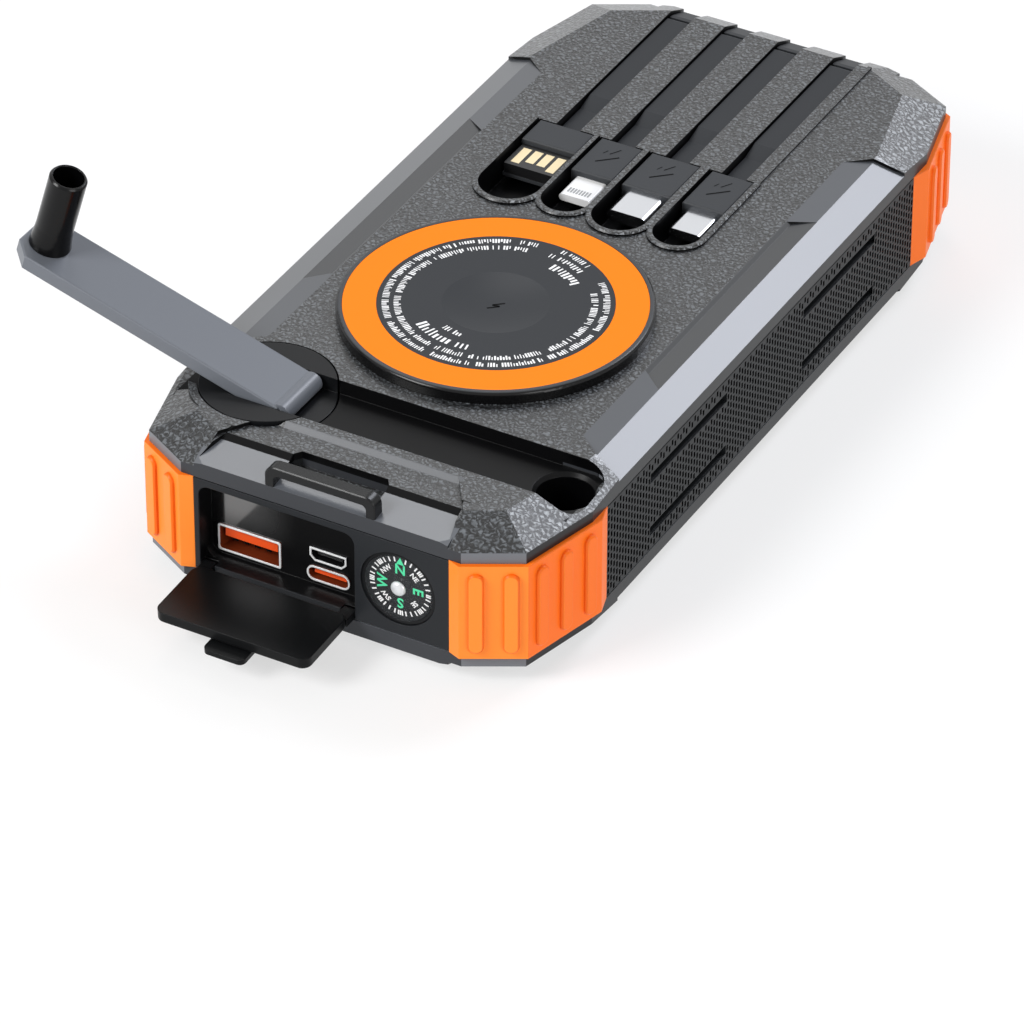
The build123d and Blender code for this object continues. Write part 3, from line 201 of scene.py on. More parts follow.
coverLook = {
    "grainSize": 1.0,  # width of one pebble of the grain
    "grainDepth": 0.6,
    "grainLight": (0.05, 0.2, 0.0),  # half the step between the two readings of the relief, which sets the painted light on each pebble
    "drift": 1.6,  # how far the pebbles are pulled out of shape
    # the darkest tone is painted shade in the grooves and on the shaded side of each pebble
    "grooveShade": "#040405",
    "ridge": "#64686C",
    # a painted highlight on pebbled faces that turn to the right
    "lit": "#A0A4A8",
    "smooth": "#43464B",
    "ledge": "#5A5D62",
    # painted shade on the strips' inset floors
    "inset": "#26282B",
    # painted light and shade on the walls, by which way they face
    "wall": "#1C1E20",
    "front": "#34363A",
    "corner": "#6E7176",
    "black": "#050506",
    # lines are (slope, start), and ranges are (from, to)
    "stripX": 32.6,
    "stripEnds": ((0.84, 24.1), (0.3, 44.23)),
    "insetX": 37.25,
    "insetEnd": (0.75, 3.6),
    "bevelY": (-74.6, -73.3),
    "bevelX": (-16.0, 20.6),
    "ledgeY": 80.4,
    "ledgeX": 26.2,
    "ledgeTall": 14.45,
    "seamRise": 13.6,  # walls further than this from the middle belong to the hollows
    "pocketFloor": 31.3,
    "pocketX": 31.8,
    "pocketY": (-72.6, 88.9),
    "pocketSlope": (0.453, 69.4),
    "shoulder": (0.4848, 0.8746, 83.6),  # the cut corner, as part of x, part of y, and their sum
    "troughFloor": 28.9,
    "troughX": 40.5,
    "troughEnd": -56.0,
    "slope": (0.568, 60.99),
    "slopeX": 25.4,
    "slopeY": (79.2, 82.1),
}


def coverPaint():
    # pebbled grain on the faces, plain plastic on the strips and walls, black in the hollows; painted light
    # and shade on the pebbles, the strips' inset floors and the walls
    look = coverLook
    paint = Paint("cover_grain")
    point, x, y, z = paint.place()
    sideways, along, middle = abs(x), abs(y), abs(z - midHeight)
    facing = paint.facing()
    upright, endwise = abs(facing[2]), abs(facing[1])
    # the grain: pebbles with painted shade in the groove round each, pulled out of shape, and coarser on
    # the corners
    drift = paint.node("ShaderNodeTexNoise", {}, {"Vector": point, "Scale": 0.9, "Detail": 1.0}, "Color")
    warped = paint.vector("MULTIPLY_ADD", drift, (look["drift"],) * 3, point)
    corner = (along > 60.0) * (middle < 15.0)
    warped = paint.vector("SCALE", warped, Scale=1 - corner * 0.2)

    def relief(shift):
        at = paint.vector("ADD", warped, shift)
        groove = paint.grooves(at, look["grainSize"])
        folds = paint.noise(at, look["grainSize"] * 0.6, 1.0, 0.5, 0.4)
        return groove.rise(0.0, 0.4) * 0.85 + (folds - 0.5) * 0.6

    # painted light on the side of each pebble that faces away from the sockets, painted shade on the other
    # side and in its grooves
    step = look["grainLight"]
    front, back = relief(tuple(-part for part in step)), relief(step)
    height = (front + back) * 0.5
    paintedPebbleLight = height * 0.45 + (front - back) + 0.16
    # the strip along each side ends on a line that runs outwards and away
    ends = [sideways * slope + start for slope, start in look["stripEnds"]]
    strip = (sideways > look["stripX"] - 0.05) * (along < ends[0].least(ends[1]) + 0.05)
    slope, start = look["insetEnd"]
    inset = (sideways < look["insetX"]) * (along < sideways * slope + start) * strip
    bevel = y.within(*look["bevelY"], 0.01) * x.within(*look["bevelX"], 0.01) * (z > 30.0)
    # the ledge and the short slope at the back of each end recess, which the crank side has
    # only at the socket end
    recessed = 1 - (z > 16.0) * (y > 0.0)
    ledge = (along > look["ledgeY"]) * (sideways < look["ledgeX"]) * (middle < look["ledgeTall"]) * recessed
    slope, start = look["slope"]
    sloped = (abs(middle + along * slope - start) < 0.06) * (sideways < look["slopeX"])
    sloped = sloped * along.within(*look["slopeY"], 0.01) * recessed
    # the hollows for the plugs and leads, and the trough that the crank's arm folds into
    nearEnd, farEnd = look["pocketY"]
    slope, start = look["pocketSlope"]
    across, away, reach = look["shoulder"]
    pocket = (z < look["pocketFloor"]) * (sideways < look["pocketX"]) * (y > nearEnd) * (y < farEnd)
    pocket = pocket * (z + y * slope < start) * (sideways * across + y * away < reach)
    trough = (z < look["troughFloor"]) * (sideways < look["troughX"])
    trough = trough * y.within(nearEnd, look["troughEnd"], 0.01)
    steep = upright < 0.5
    hidden = (z > 20.0) * (pocket + trough) + steep * (middle > look["seamRise"]) + sloped
    hidden = hidden.least(1.0)
    pebbled = (1 - strip) * (1 - bevel) * (1 - ledge) * (1 - steep) * (1 - hidden)
    # faces turned to the right get the paler lit tone, a painted highlight
    ridge = paint.mix(facing[0].rise(0.24, 0.34), srgb(look["ridge"]), srgb(look["lit"]))
    tone = paint.mix(paintedPebbleLight.rise(-0.05, 0.95), srgb(look["grooveShade"]), ridge)
    tone = paint.mix(pebbled, srgb(look["smooth"]), tone)
    tone = paint.mix(ledge, tone, srgb(look["ledge"]))
    # the inset floor of each strip gets a darker tone, painted shade
    tone = paint.mix(inset, tone, srgb(look["inset"]))
    # the walls get painted light by which way they face: darkest along the sides, lighter facing the ends,
    # and a painted highlight on the cut corners
    wall = paint.mix(endwise > 0.97, srgb(look["wall"]), srgb(look["front"]))
    wall = paint.mix((endwise > 0.8) * (endwise < 0.95), wall, srgb(look["corner"]))
    tone = paint.mix(steep, tone, wall)
    tone = paint.mix(hidden, tone, srgb(look["black"]))
    return paint.shade(
        Base_Color=tone,
        Roughness=0.36 + pebbled * 0.04,
        Specular_IOR_Level=0.12,
        Coat_Weight=(1 - hidden) * (1 - steep * 0.7),
        Coat_Roughness=0.28,
        Normal=paint.bump(height * pebbled, 1.0, look["grainDepth"], paint.rounded(0.2)),
    )


rubberLook = {
    # the two planes of a bumper: part of x, part of y, and the range that lies at the edges of its ribs
    "endPlane": (0.4848, 0.8746, 92.82, 93.5),
    "sidePlane": (0.9703, 0.2419, 58.7, 59.4),
}


def rubberPaint():
    # orange moulded rubber with a very fine skin; faces turned towards the ends get a paler tone, painted
    # light, and a band round the ribs gets a deeper tone, painted shade
    paint = Paint("bumper_orange")
    point, x, y, z = paint.place()
    endwise = abs(paint.facing()[1])
    skin = paint.noise(point, 0.35, 2.0)
    # the bands round the edges of the ribs, which get painted shade
    edges = []
    for across, away, low, high in rubberLook.values():
        edges.append((abs(x) * across + abs(y) * away).within(low, high, 0.02))
    edges = (edges[0] + edges[1]).least(1.0)
    # painted light: faces turned towards the ends get the paler orange
    tone = paint.mix(endwise.rise(0.5, 0.8), srgb("#FF7410"), srgb("#FF8A2C"))
    # painted shade: a deeper orange on the bands round the ribs
    tone = paint.mix(edges, tone, srgb("#F26A08"))
    normal = paint.bump(skin, 0.25, 0.05, paint.rounded(0.3))
    return paint.shade(Base_Color=tone, Roughness=0.4, Specular_IOR_Level=0.25, Normal=normal)


def fromLamp(x, z):
    # how far a point lies from the axis of the red lamp
    return (x * x + (z - midHeight) ** 2) ** 0.5


panelLook = {
    "mouth": -88.9,  # the socket recess runs from here
    "backWall": -84.95,
    "inner": -80.0,
    "glossRise": (10.5, 19.0),  # the gloss of the back wall grows upwards
    "glossFade": (-17.0, -7.0),  # and fades towards the narrow sockets
}


def panelPaint():
    # satin plastic; the wall round the sockets is gloss black and mirrors what lies before it,
    # and the other panel has a painted red glow round its lamp
    look = panelLook
    paint = Paint("panel_plastic")
    point, x, y, z = paint.place()
    inside = y.within(look["mouth"], look["inner"], 0.05)
    wall = y.within(look["backWall"], look["inner"], 0.05)
    wall = wall * z.rise(*look["glossRise"]) * (1 - x.rise(*look["glossFade"]))
    # painted light: a red glow on the panel round the lamp
    glow = (1 - fromLamp(x, z).rise(0.6, 5.6)) ** 2 * (y > 80.0)
    tone = paint.mix(inside, srgb("#222427"), srgb("#070708"))
    return paint.shade(
        Base_Color=tone,
        Roughness=0.36,
        Specular_IOR_Level=0.15,
        Coat_Weight=wall,
        Coat_Roughness=0.1,
        Coat_IOR=2.3,
        Emission_Color=paint.mix(glow, (0, 0, 0, 1), srgb("#FF1420")),
        Emission_Strength=0.9,
        Normal=paint.rounded(0.25),
    )


def keyedSocket(x, z):
    # the narrow socket with cut corners lies above the flat one
    return (x > -6.0) * (z > 12.2)


def shellPaint():
    # pressed metal, bright at the mouth; further in, painted shade, tinted orange-brown by the tongues in
    # the two wide sockets and near-black in the keyed one
    paint = Paint("shell_metal")
    point, x, y, z = paint.place()
    # painted shade inside the sockets, tinted orange-brown where the orange tongues lie
    inner = paint.mix(keyedSocket(x, z), srgb("#7C3418"), srgb("#141415"))
    tone = paint.mix(y < -84.9, inner, srgb("#F4F5F6"))
    return paint.shade(Base_Color=tone, Roughness=0.35, Metallic=0.25, Normal=paint.rounded(0.1))


solarLook = {
    "lineFirst": -71.9,
    "groupPitch": 13.65,
    "linePitch": 1.55,
    "lines": 7,
    "lineWide": 0.26,
    "lineX": (1.5, 29.5),
    "lineEnd": 74.6,
    "cellX": (1.0, 30.0),
    "cellMiddle": 5.4,
    "cellHalf": 6.2,
}


def solarPaint():
    # two columns of cells; each cell carries seven thin silver lines
    look = solarLook
    paint = Paint("solar_cells")
    point, x, y, z = paint.place()
    inGroup = (y - (look["lineFirst"] - look["linePitch"] / 2)).repeat(look["groupPitch"])
    lined = inGroup < look["linePitch"] * look["lines"]
    inLine = abs(inGroup.repeat(look["linePitch"]) - look["linePitch"] / 2)
    line = (inLine < look["lineWide"] / 2) * lined
    line = line * abs(x).within(*look["lineX"], 0.02) * (abs(y) < look["lineEnd"]) * (z < 0.35)
    cell = abs(x).within(*look["cellX"], 0.05) * (abs(inGroup - look["cellMiddle"]) < look["cellHalf"])
    tone = paint.mix(cell, srgb("#0A0A0C"), srgb("#14151A"))
    tone = paint.mix(line, tone, srgb("#8E8F8C"))
    return paint.shade(Base_Color=tone, Roughness=0.22 + line * 0.2, Coat_Weight=0.3)


def glassPaint(name, tone, alpha, rough=0.03):
    return Paint(name).shade(Base_Color=srgb(tone), Roughness=rough, Alpha=alpha, Specular_IOR_Level=0.3)


def signalPaint():
    # a red lamp whose middle burns pale
    paint = Paint("signal_red")
    point, x, y, z = paint.place()
    heart = 1 - fromLamp(x, z).rise(0.25, 0.95)
    tone = paint.mix(heart, srgb("#FF1420"), srgb("#FFF2B4"))
    return paint.shade(Base_Color=tone, Roughness=0.2, Emission_Color=tone, Emission_Strength=1.3)


def padBasePaint():
    # gloss black on the side, satin grey on the level rim
    paint = Paint("pad_base")
    rim = paint.facing()[2].rise(0.75, 0.95)
    tone = paint.mix(rim, srgb("#050506"), srgb("#3A3C3F"))
    normal = paint.rounded(0.25)
    return paint.shade(Base_Color=tone, Roughness=0.16 + rim * 0.2, Specular_IOR_Level=0.25, Normal=normal)


def tonguePaint():
    # the two wide tongues are orange, the one in the keyed socket is black
    paint = Paint("port_tongues")
    point, x, y, z = paint.place()
    tone = paint.mix(keyedSocket(x, z), srgb("#F0551C"), srgb("#0C0C0D"))
    return paint.shade(Base_Color=tone, Roughness=0.4)


paints = {
    "cover": coverPaint(),
    "bumper": rubberPaint(),
    "solar": solarPaint(),
    "frame": plainPaint("frame_plastic", "#1F2123", 0.38, edge=0.2, shine=0.15),
    "door": plainPaint("door_plastic", "#0F1011", 0.3, edge=0.25, shine=0.12),
    "panel": panelPaint(),
    "gloss": plainPaint("gloss_black", "#050506", 0.2, edge=0.25, shine=0.2),
    "satin": plainPaint("satin_black", "#131416", 0.28, edge=0.25, shine=0.15),
    "loop": plainPaint("loop_black", "#101112", 0.26, edge=0.2, shine=0.25),
    "ring": plainPaint("pad_orange", "#FF8512", 0.4, shine=0.1),
    "padGrey": plainPaint("pad_grey", "#36383B", 0.3, shine=0.1),
    "arm": plainPaint("arm_grey", "#666A71", 0.32, edge=0.3, shine=0.35),
    "strap": plainPaint("strap_rubber", "#2C2E31", 0.45, edge=0.2, shine=0.15),
    "plug": plainPaint("plug_block", "#393B3E", 0.42, edge=0.2, shine=0.15),
    "shell": shellPaint(),
    "steel": plainPaint("bright_steel", "#D6D8DC", 0.2, 1.0),
    "chrome": plainPaint("chrome", "#E4E6E9", 0.1, 1.0),
    # a darker copy of the chrome, which gives some torch facets painted dark reflections
    "chromePaintedShade": plainPaint("chrome_painted_shade", "#6E7177", 0.16, 1.0),
    "core": plainPaint("lamp_core", "#45474B", 0.35, shine=0.2),
    "optic": plainPaint("optic_grey", "#C4C7CB", 0.2, shine=0.6),
    "gold": plainPaint("gold_contact", "#EFDDB4", 0.3, 0.4),
    "white": plainPaint("white_plastic", "#F2F2F2", 0.3),
    "card": plainPaint("compass_card", "#0E0F11", 0.4, shine=0.1),
    "green": plainPaint("mark_green", "#3FE0A0", 0.5),
    "cap": plainPaint("cap_silver", "#DCDEE0", 0.25, 0.3),
    "silverGrey": plainPaint("contact_grey", "#9A9C9E", 0.4, 0.4),
    "ink": plainPaint("mark_white", "#F4F4F4", 0.5),
    "dark": plainPaint("deep_black", "#060607", 0.5, shine=0.05),
    "board": plainPaint("board_green", "#155C34", 0.4),
    "chip": plainPaint("chip_black", "#151516", 0.4),
    "cell": plainPaint("cell_foil", "#A8ABB0", 0.35, 0.9),
    "copper": plainPaint("copper_wire", "#C77A4A", 0.35, 1.0),
    "ferrite": plainPaint("ferrite", "#2B2A2A", 0.7),
    "gear": plainPaint("gear_plastic", "#D8D3C2", 0.45),
    "led": plainPaint("lamp_yellow", "#F6E9A6", 0.3),
    "padBase": padBasePaint(),
    "tongue": tonguePaint(),
    "lens": glassPaint("clear_lens", "#9A9EA2", 0.05),
    "red": signalPaint(),
}
print("paints mixed:", len(paints))


finishes = {
    "cover": "top_cover bottom_cover",
    "frame": "mid_frame side_grilles",
    "door": "port_door",
    "panel": "socket_panel torch_panel",
    "bumper": "bumper_socket_left bumper_socket_right bumper_torch_left bumper_torch_right power_button",
    "solar": "solar_panel",
    "shell": "usb_a_shell usb_c_shell micro_usb_shell",
    "steel": "case_screws arm_hinge_pin grip_screw gear_plate"
    " generator_can generator_rotor pad_magnets type_c_tip micro_usb_tip",
    "gloss": "grip_sleeve",
    "padBase": "pad_base",
    "loop": "lanyard_loop",
    "satin": "crank_hub compass_cup",
    "ring": "pad_ring",
    "padGrey": "pad_face",
    "copper": "charge_coil generator_stator",
    "ferrite": "ferrite_plate",
    "cell": "battery_cells",
    "board": "circuit_boards",
    "chip": "board_parts usb_a_tip",
    "tongue": "port_tongues",
    "card": "compass_card",
    "lens": "compass_lens torch_lenses",
    "chrome": "torch_reflectors",
    "led": "torch_lamps",
    "red": "signal_lamp",
    "arm": "crank_arm",
    "gear": "drive_gear idler_gear",
    "white": "charge_lights small_tip_tip",
    "strap": "lead_roots usb_a_lead small_tip_lead type_c_lead micro_usb_lead",
    "plug": "usb_a_plug small_tip_plug type_c_plug micro_usb_plug",
}
painted = set()
for finish, names in finishes.items():
    for name in names.split():
        slots = nodes[name].data.materials
        if not slots:
            slots.append(None)
        for number in range(len(slots)):
            slots[number] = paints[finish]
        painted.add(name)
print("painted", len(painted), "nodes, left:", sorted(set(nodes) - painted))


def meshPiece(name, points, faces, finish, body, shadeSmooth=False, second=None):
    # points in millimetres; faces is an array of equal polygons; second is another finish and
    # which faces have it
    mesh = bpy.data.meshes.new(name)
    sides = faces.shape[1]
    mesh.vertices.add(len(points))
    mesh.vertices.foreach_set("co", (np.asarray(points) * mm).astype(np.float32).ravel())
    mesh.loops.add(faces.size)
    mesh.loops.foreach_set("vertex_index", faces.astype(np.int32).ravel())
    mesh.polygons.add(len(faces))
    mesh.polygons.foreach_set("loop_start", np.arange(0, faces.size, sides, dtype=np.int32))
    mesh.polygons.foreach_set("use_smooth", np.full(len(faces), shadeSmooth))
    mesh.materials.append(paints[finish])
    if second:
        mesh.materials.append(paints[second[0]])
        mesh.polygons.foreach_set("material_index", second[1].astype(np.int32))
    mesh.update(calc_edges=True)
    mesh.validate()
    piece = bpy.data.objects.new(name, mesh)
    bpy.context.scene.collection.objects.link(piece)
    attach(piece, body)
    return piece


grilleLook = {
    "pitchAlong": 1.1,
    "pitchUp": 1.62,
    "holeWide": 0.58,
    "holeTall": 1.14,
    "depth": 0.3,
    "margin": 0.16,  # a tile that is cut shorter than a hole and this stays plain
    # windows are (y from, y to, z from, z to)
    "slots": [(15.4, 45.5, 9.0, 11.0), (15.4, 45.5, 20.7, 22.7)],
    "slotDepth": 0.36,
    "plate": (-11.0, 13.0, 12.2, 19.6),  # left plain round the button and the lamps
}


def rectangles(y0, y1, z0, z1, x):
    # the four corners of each upright rectangle, which stands at x
    ys = np.stack([y0, y1, y1, y0], 1)
    zs = np.stack([z0, z0, z1, z1], 1)
    return np.stack([np.full_like(ys, x), ys, zs], 2)


def band(outer, inner):
    # four faces between two rectangles, whose corners are numbered from outer and from inner
    return [(outer + i, outer + (i + 1) % 4, inner + (i + 1) % 4, inner + i) for i in range(4)]


def grilleWall(side):
    # tiles in upright columns, every second column half a tile higher; each tile is a flat ring
    # round a pocket: four corners, four at the pocket's rim and four on its floor
    look = grilleLook
    low, high = boxOf("side_grilles")
    count = round((high[1] - low[1]) / look["pitchAlong"])
    step = (high[1] - low[1]) / count
    rows = int((high[2] - low[2]) / look["pitchUp"]) + 2
    column, row = (grid.ravel() for grid in np.meshgrid(np.arange(count), np.arange(rows), indexing="ij"))
    left = low[1] + column * step
    middle = left + step / 2
    base = low[2] + (row - 1 + 0.5 * (column % 2)) * look["pitchUp"]
    top = np.minimum(base + look["pitchUp"], high[2])
    base = np.maximum(base, low[2])
    windows = look["slots"] + [(-end, -start, under, over) for start, end, under, over in look["slots"]]
    if side < 0:
        windows.append(look["plate"])
    for start, end, under, over in windows:
        beside = (middle > start) & (middle < end)
        cutLow = beside & (base < under) & (top > under)
        cutHigh = beside & (base < over) & (top > over)
        top = np.where(cutLow, under, top)
        base = np.where(cutHigh & ~cutLow, over, base)
        top = np.where(beside & (base >= under) & (top <= over), base, top)
    keep = top - base > 0.02
    left, base, top = left[keep], base[keep], top[keep]
    room = top - base > look["holeTall"] + look["margin"]
    face = side * high[0]
    floor = side * (high[0] - look["depth"])
    outer = rectangles(left, left + step, base, top, face)
    centre = (base[room] + top[room]) / 2
    sideGap = (step - look["holeWide"]) / 2
    edges = (left[room] + sideGap, left[room] + step - sideGap)
    edges += (centre - look["holeTall"] / 2, centre + look["holeTall"] / 2)
    tile = np.concatenate([outer[room], rectangles(*edges, face), rectangles(*edges, floor)], 1)
    pattern = np.array(band(0, 4) + band(4, 8) + [(8, 9, 10, 11)])
    tiles = (np.arange(len(tile))[:, None, None] * 12 + pattern).reshape(-1, 4)
    shadedFaces = np.tile(np.array([0] * 4 + [1] * 5), len(tile))  # the pocket's walls and floor, painted black as the shade inside the grille
    plain = outer[~room]
    # the window's own edges, from the face back to the frame
    sides = np.array(windows).T
    reveal = [rectangles(*sides, face), rectangles(*sides, side * (high[0] - look["slotDepth"]))]
    reveal = np.concatenate(reveal, 1)
    points = np.concatenate([tile.reshape(-1, 3), plain.reshape(-1, 3), reveal.reshape(-1, 3)])
    start = len(tile) * 12
    flats = start + np.arange(len(plain) * 4).reshape(-1, 4)
    start += len(plain) * 4
    edging = (start + np.arange(len(reveal))[:, None, None] * 8 + np.array(band(0, 4))).reshape(-1, 4)
    faces = np.concatenate([tiles, flats, edging])
    shadedFaces = np.concatenate([shadedFaces, np.zeros(len(flats) + len(edging), int)])
    if side < 0:
        faces = faces[:, ::-1]
    name = "grille_right" if side > 0 else "grille_left"
    return meshPiece(name, points, faces, "frame", "casing", second=("dark", shadedFaces))


for side in (-1, 1):
    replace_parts(grilleWall(side), "side_grilles")
print("side grilles made")


def layFlat(x, y, z):
    # marks that lie level at this point, seen from above
    return np.array([(1, 0, 0, x), (0, 1, 0, y), (0, 0, 1, z)])


def standUp(x, y, z):
    # marks that stand upright at this point, seen from the socket end
    return np.array([(1, 0, 0, x), (0, 0, -1, y), (0, 1, 0, z)])


def strokePiece(name, starts, ends, widths, place, finish, body, slot):
    # each stroke is a flat four-cornered bar from start to end; place turns it into the frame
    starts, ends = np.asarray(starts, float), np.asarray(ends, float)
    run = ends - starts
    length = np.linalg.norm(run, axis=1, keepdims=True)
    across = np.stack([-run[:, 1], run[:, 0]], 1) / length
    half = across * np.broadcast_to(np.asarray(widths, float), (len(starts),))[:, None] / 2
    flat = np.stack([starts - half, ends - half, ends + half, starts + half], 1).reshape(-1, 2)
    return flatPiece(name, flat, np.arange(len(flat)).reshape(-1, 4), place, finish, body)


def flatPiece(name, flat, faces, place, finish, body):
    # flat points, which place turns and moves into the frame
    points = np.concatenate([flat, np.zeros((len(flat), 1)), np.ones((len(flat), 1))], 1)
    return meshPiece(name, points @ place.T, faces, finish, body)


def lettering(text, size):
    # the letters' own flat triangles, in millimetres round their middle, a little bolder than the font
    curve = bpy.data.curves.new("letters", "FONT")
    curve.body, curve.size, curve.offset = text, size, size * 0.025
    curve.align_x = curve.align_y = "CENTER"
    curve.resolution_u = 3
    holder = bpy.data.objects.new("letters", curve)
    bpy.context.scene.collection.objects.link(holder)
    bpy.context.view_layer.update()
    mesh = bpy.data.meshes.new_from_object(holder)
    mesh.calc_loop_triangles()
    points = np.zeros(len(mesh.vertices) * 3)
    mesh.vertices.foreach_get("co", points)
    faces = np.zeros(len(mesh.loop_triangles) * 3, np.int32)
    mesh.loop_triangles.foreach_get("vertices", faces)
    bpy.data.objects.remove(holder)
    return points.reshape(-1, 3)[:, :2], faces.reshape(-1, 3)


def turned(points, degrees):
    # flat points turned round the middle
    c, s = math.cos(math.radians(degrees)), math.sin(math.radians(degrees))
    return points @ np.array([(c, s), (-s, c)])


def gridFaces(rings, sides):
    # four-cornered faces between neighbouring rings, each of which closes on itself
    ring, spot = np.meshgrid(np.arange(rings - 1), np.arange(sides), indexing="ij")
    after = (spot + 1) % sides
    near, far = ring * sides, (ring + 1) * sides
    return np.stack([near + spot, near + after, far + after, far + spot], 2).reshape(-1, 4)


compassLook = {
    "letters": {0: "N", -90: "E", 180: "S", 90: "W"},  # by the angle from the arrow
    "letterSize": 2.9,
    "letterRadius": 3.55,
    "pairs": {-45: "NE", -135: "SE", 135: "SW", 45: "NW"},
    "pairSize": 1.45,
    "pairRadius": 4.05,
    "ringIn": 5.25,
    "ringOut": 6.25,
    "tickWide": 0.3,
    "closeTicks": 3.9,  # degrees on each side of every eighth of the ring
    "arrow": ((-0.8, 4.75), (0.8, 4.75), (0.0, 6.3)),
    "capRadius": 1.5,
    "capFlat": 0.55,
}


def compassText(name, texts, size, radius, place, finish):
    # each text upright on its own spoke, all in one piece
    allPoints, allFaces, start = [], [], 0
    for degrees, text in texts.items():
        points, faces = lettering(text, size)
        allPoints.append(turned(points + (0, radius), degrees))
        allFaces.append(faces + start)
        start += len(points)
    flatPiece(name, np.concatenate(allPoints), np.concatenate(allFaces), place, finish, "compass")


def compassMarks():
    # a ring of white ticks, four green letters, four small white pairs and the arrow at N
    look = compassLook
    low, high = boxOf("compass_card")
    middle, front = (low + high) / 2, low[1]
    place = standUp(middle[0], front - 0.3, middle[2])
    # three thin ticks between each pair of close groups of three
    close = look["closeTicks"]
    angles = [np.arange(0, 360, 11.25), np.arange(-close, 356, 45), np.arange(close, 364, 45)]
    angles = np.concatenate(angles)
    ticks = np.radians(angles[np.abs(angles - 90) > 8])  # none where the arrow points
    out = np.stack([np.cos(ticks), np.sin(ticks)], 1)
    ends = (out * look["ringIn"], out * look["ringOut"])
    strokePiece("compass_ring", *ends, look["tickWide"], place, "ink", "compass", "card")
    args = (look["letters"], look["letterSize"], look["letterRadius"], place, "green")
    compassText("compass_letters", *args)
    args = (look["pairs"], look["pairSize"], look["pairRadius"], place, "ink")
    compassText("compass_small_letters", *args)
    arrow = np.array(look["arrow"])
    flatPiece("compass_arrow", arrow, np.array([(0, 1, 2)]), place, "green", "compass")
    # the cap is the near part of a flattened ball: rings of angle u and height angle v
    sides, rings = 48, 13
    u, v = np.meshgrid(np.linspace(0, 2 * math.pi, sides + 1)[:-1], np.linspace(0.02, math.pi / 2, rings))
    cap = np.stack([np.sin(v) * np.cos(u), -np.cos(v) * look["capFlat"], np.sin(v) * np.sin(u)], 2)
    cap = cap.reshape(-1, 3) * look["capRadius"] + (middle[0], front - 0.95, middle[2])
    meshPiece("compass_cap", cap, gridFaces(rings, sides), "cap", "compass", shadeSmooth=True)


compassMarks()
print("compass marked")


plugLook = {
    # x, first y and last y of each wide contact
    "contacts": ((-3.7, 0.9, 6.3), (-1.2, 2.0, 6.3), (1.2, 2.0, 6.3), (3.7, 0.9, 6.3)),
    "contactWide": 1.75,
    "fineReach": 2.1,
    "finePitch": 0.6,
    "fineStart": 1.1,
    "fineLong": 1.6,
    "fineWide": 0.36,
    # x and y of both ends of each scored line, and its width
    "scored": ((-1.6, -2.3, 1.9, 0.9), (-1.6, 0.9, -1.1, 2.1), (-0.3, 1.2, 1.0, 3.4)),
    "scoredWide": (0.34, 0.16, 0.22),
}


def plugMarks():
    # gold contacts on the wide plug, fine ones on the white plug, and plain scored lines on the blocks
    look = plugLook
    low, high = boxOf("usb_a_tip")
    place = layFlat((low[0] + high[0]) / 2, low[1], high[2] + 0.03)
    contacts = np.array(look["contacts"])
    ends = (contacts[:, [0, 1]], contacts[:, [0, 2]])
    strokePiece("usb_a_contacts", *ends, look["contactWide"], place, "gold", "usb_a", "steel")
    low, high = boxOf("small_tip_tip")
    place = layFlat((low[0] + high[0]) / 2, low[1], high[2] + 0.03)
    row = np.arange(-look["fineReach"], look["fineReach"] + 0.01, look["finePitch"])
    starts = np.stack([row, np.full_like(row, look["fineStart"])], 1)
    ends = (starts, starts + (0, look["fineLong"]))
    strokePiece("small_tip_contacts", *ends, look["fineWide"], place, "silverGrey", "small_tip", "steel")
    for body in ("small_tip", "type_c", "micro_usb"):
        low, high = boxOf(body + "_plug")
        place = layFlat((low[0] + high[0]) / 2, (low[1] + high[1]) / 2 + 0.4, high[2] + 0.04)
        lines = np.array(look["scored"])
        args = (lines[:, :2], lines[:, 2:], look["scoredWide"], place)
        strokePiece(body + "_scored", *args, "dark", body, "plug")


plugMarks()
print("plugs marked")


socketLook = {
    "springX": (-3.5, -1.2, 1.2, 3.5),
    "springTall": 0.75,
    "springWide": 1.3,
    "inset": 1.05,  # behind the mouth of the shell
    "raised": 2.15,  # above its lower side
}


def socketContacts():
    # four dark springs under the tongue of the wide socket
    look = socketLook
    low, high = boxOf("usb_a_shell")
    place = standUp((low[0] + high[0]) / 2, low[1] + look["inset"], low[2] + look["raised"])
    row = np.array(look["springX"])
    starts = np.stack([row, np.zeros_like(row)], 1)
    ends = (starts, starts + (0, look["springTall"]))
    strokePiece("usb_a_springs", *ends, look["springWide"], place, "dark", "casing", "chip")


socketContacts()
print("socket springs made")

torchLook = {
    # radius and y of each ring, from the rim inwards
    "bowl": ((6.4, 87.4), (6.4, 88.95), (5.9, 88.95), (5.75, 87.65), (5.3, 85.9), (4.3, 84.1), (2.7, 82.9)),
    "bowlSides": 18,
    "optic": ((3.0, 83.1), (2.85, 86.3), (2.35, 86.6), (2.25, 85.4)),
    "core": ((2.25, 85.4), (0.02, 85.25)),
    "tubeSides": 40,
}


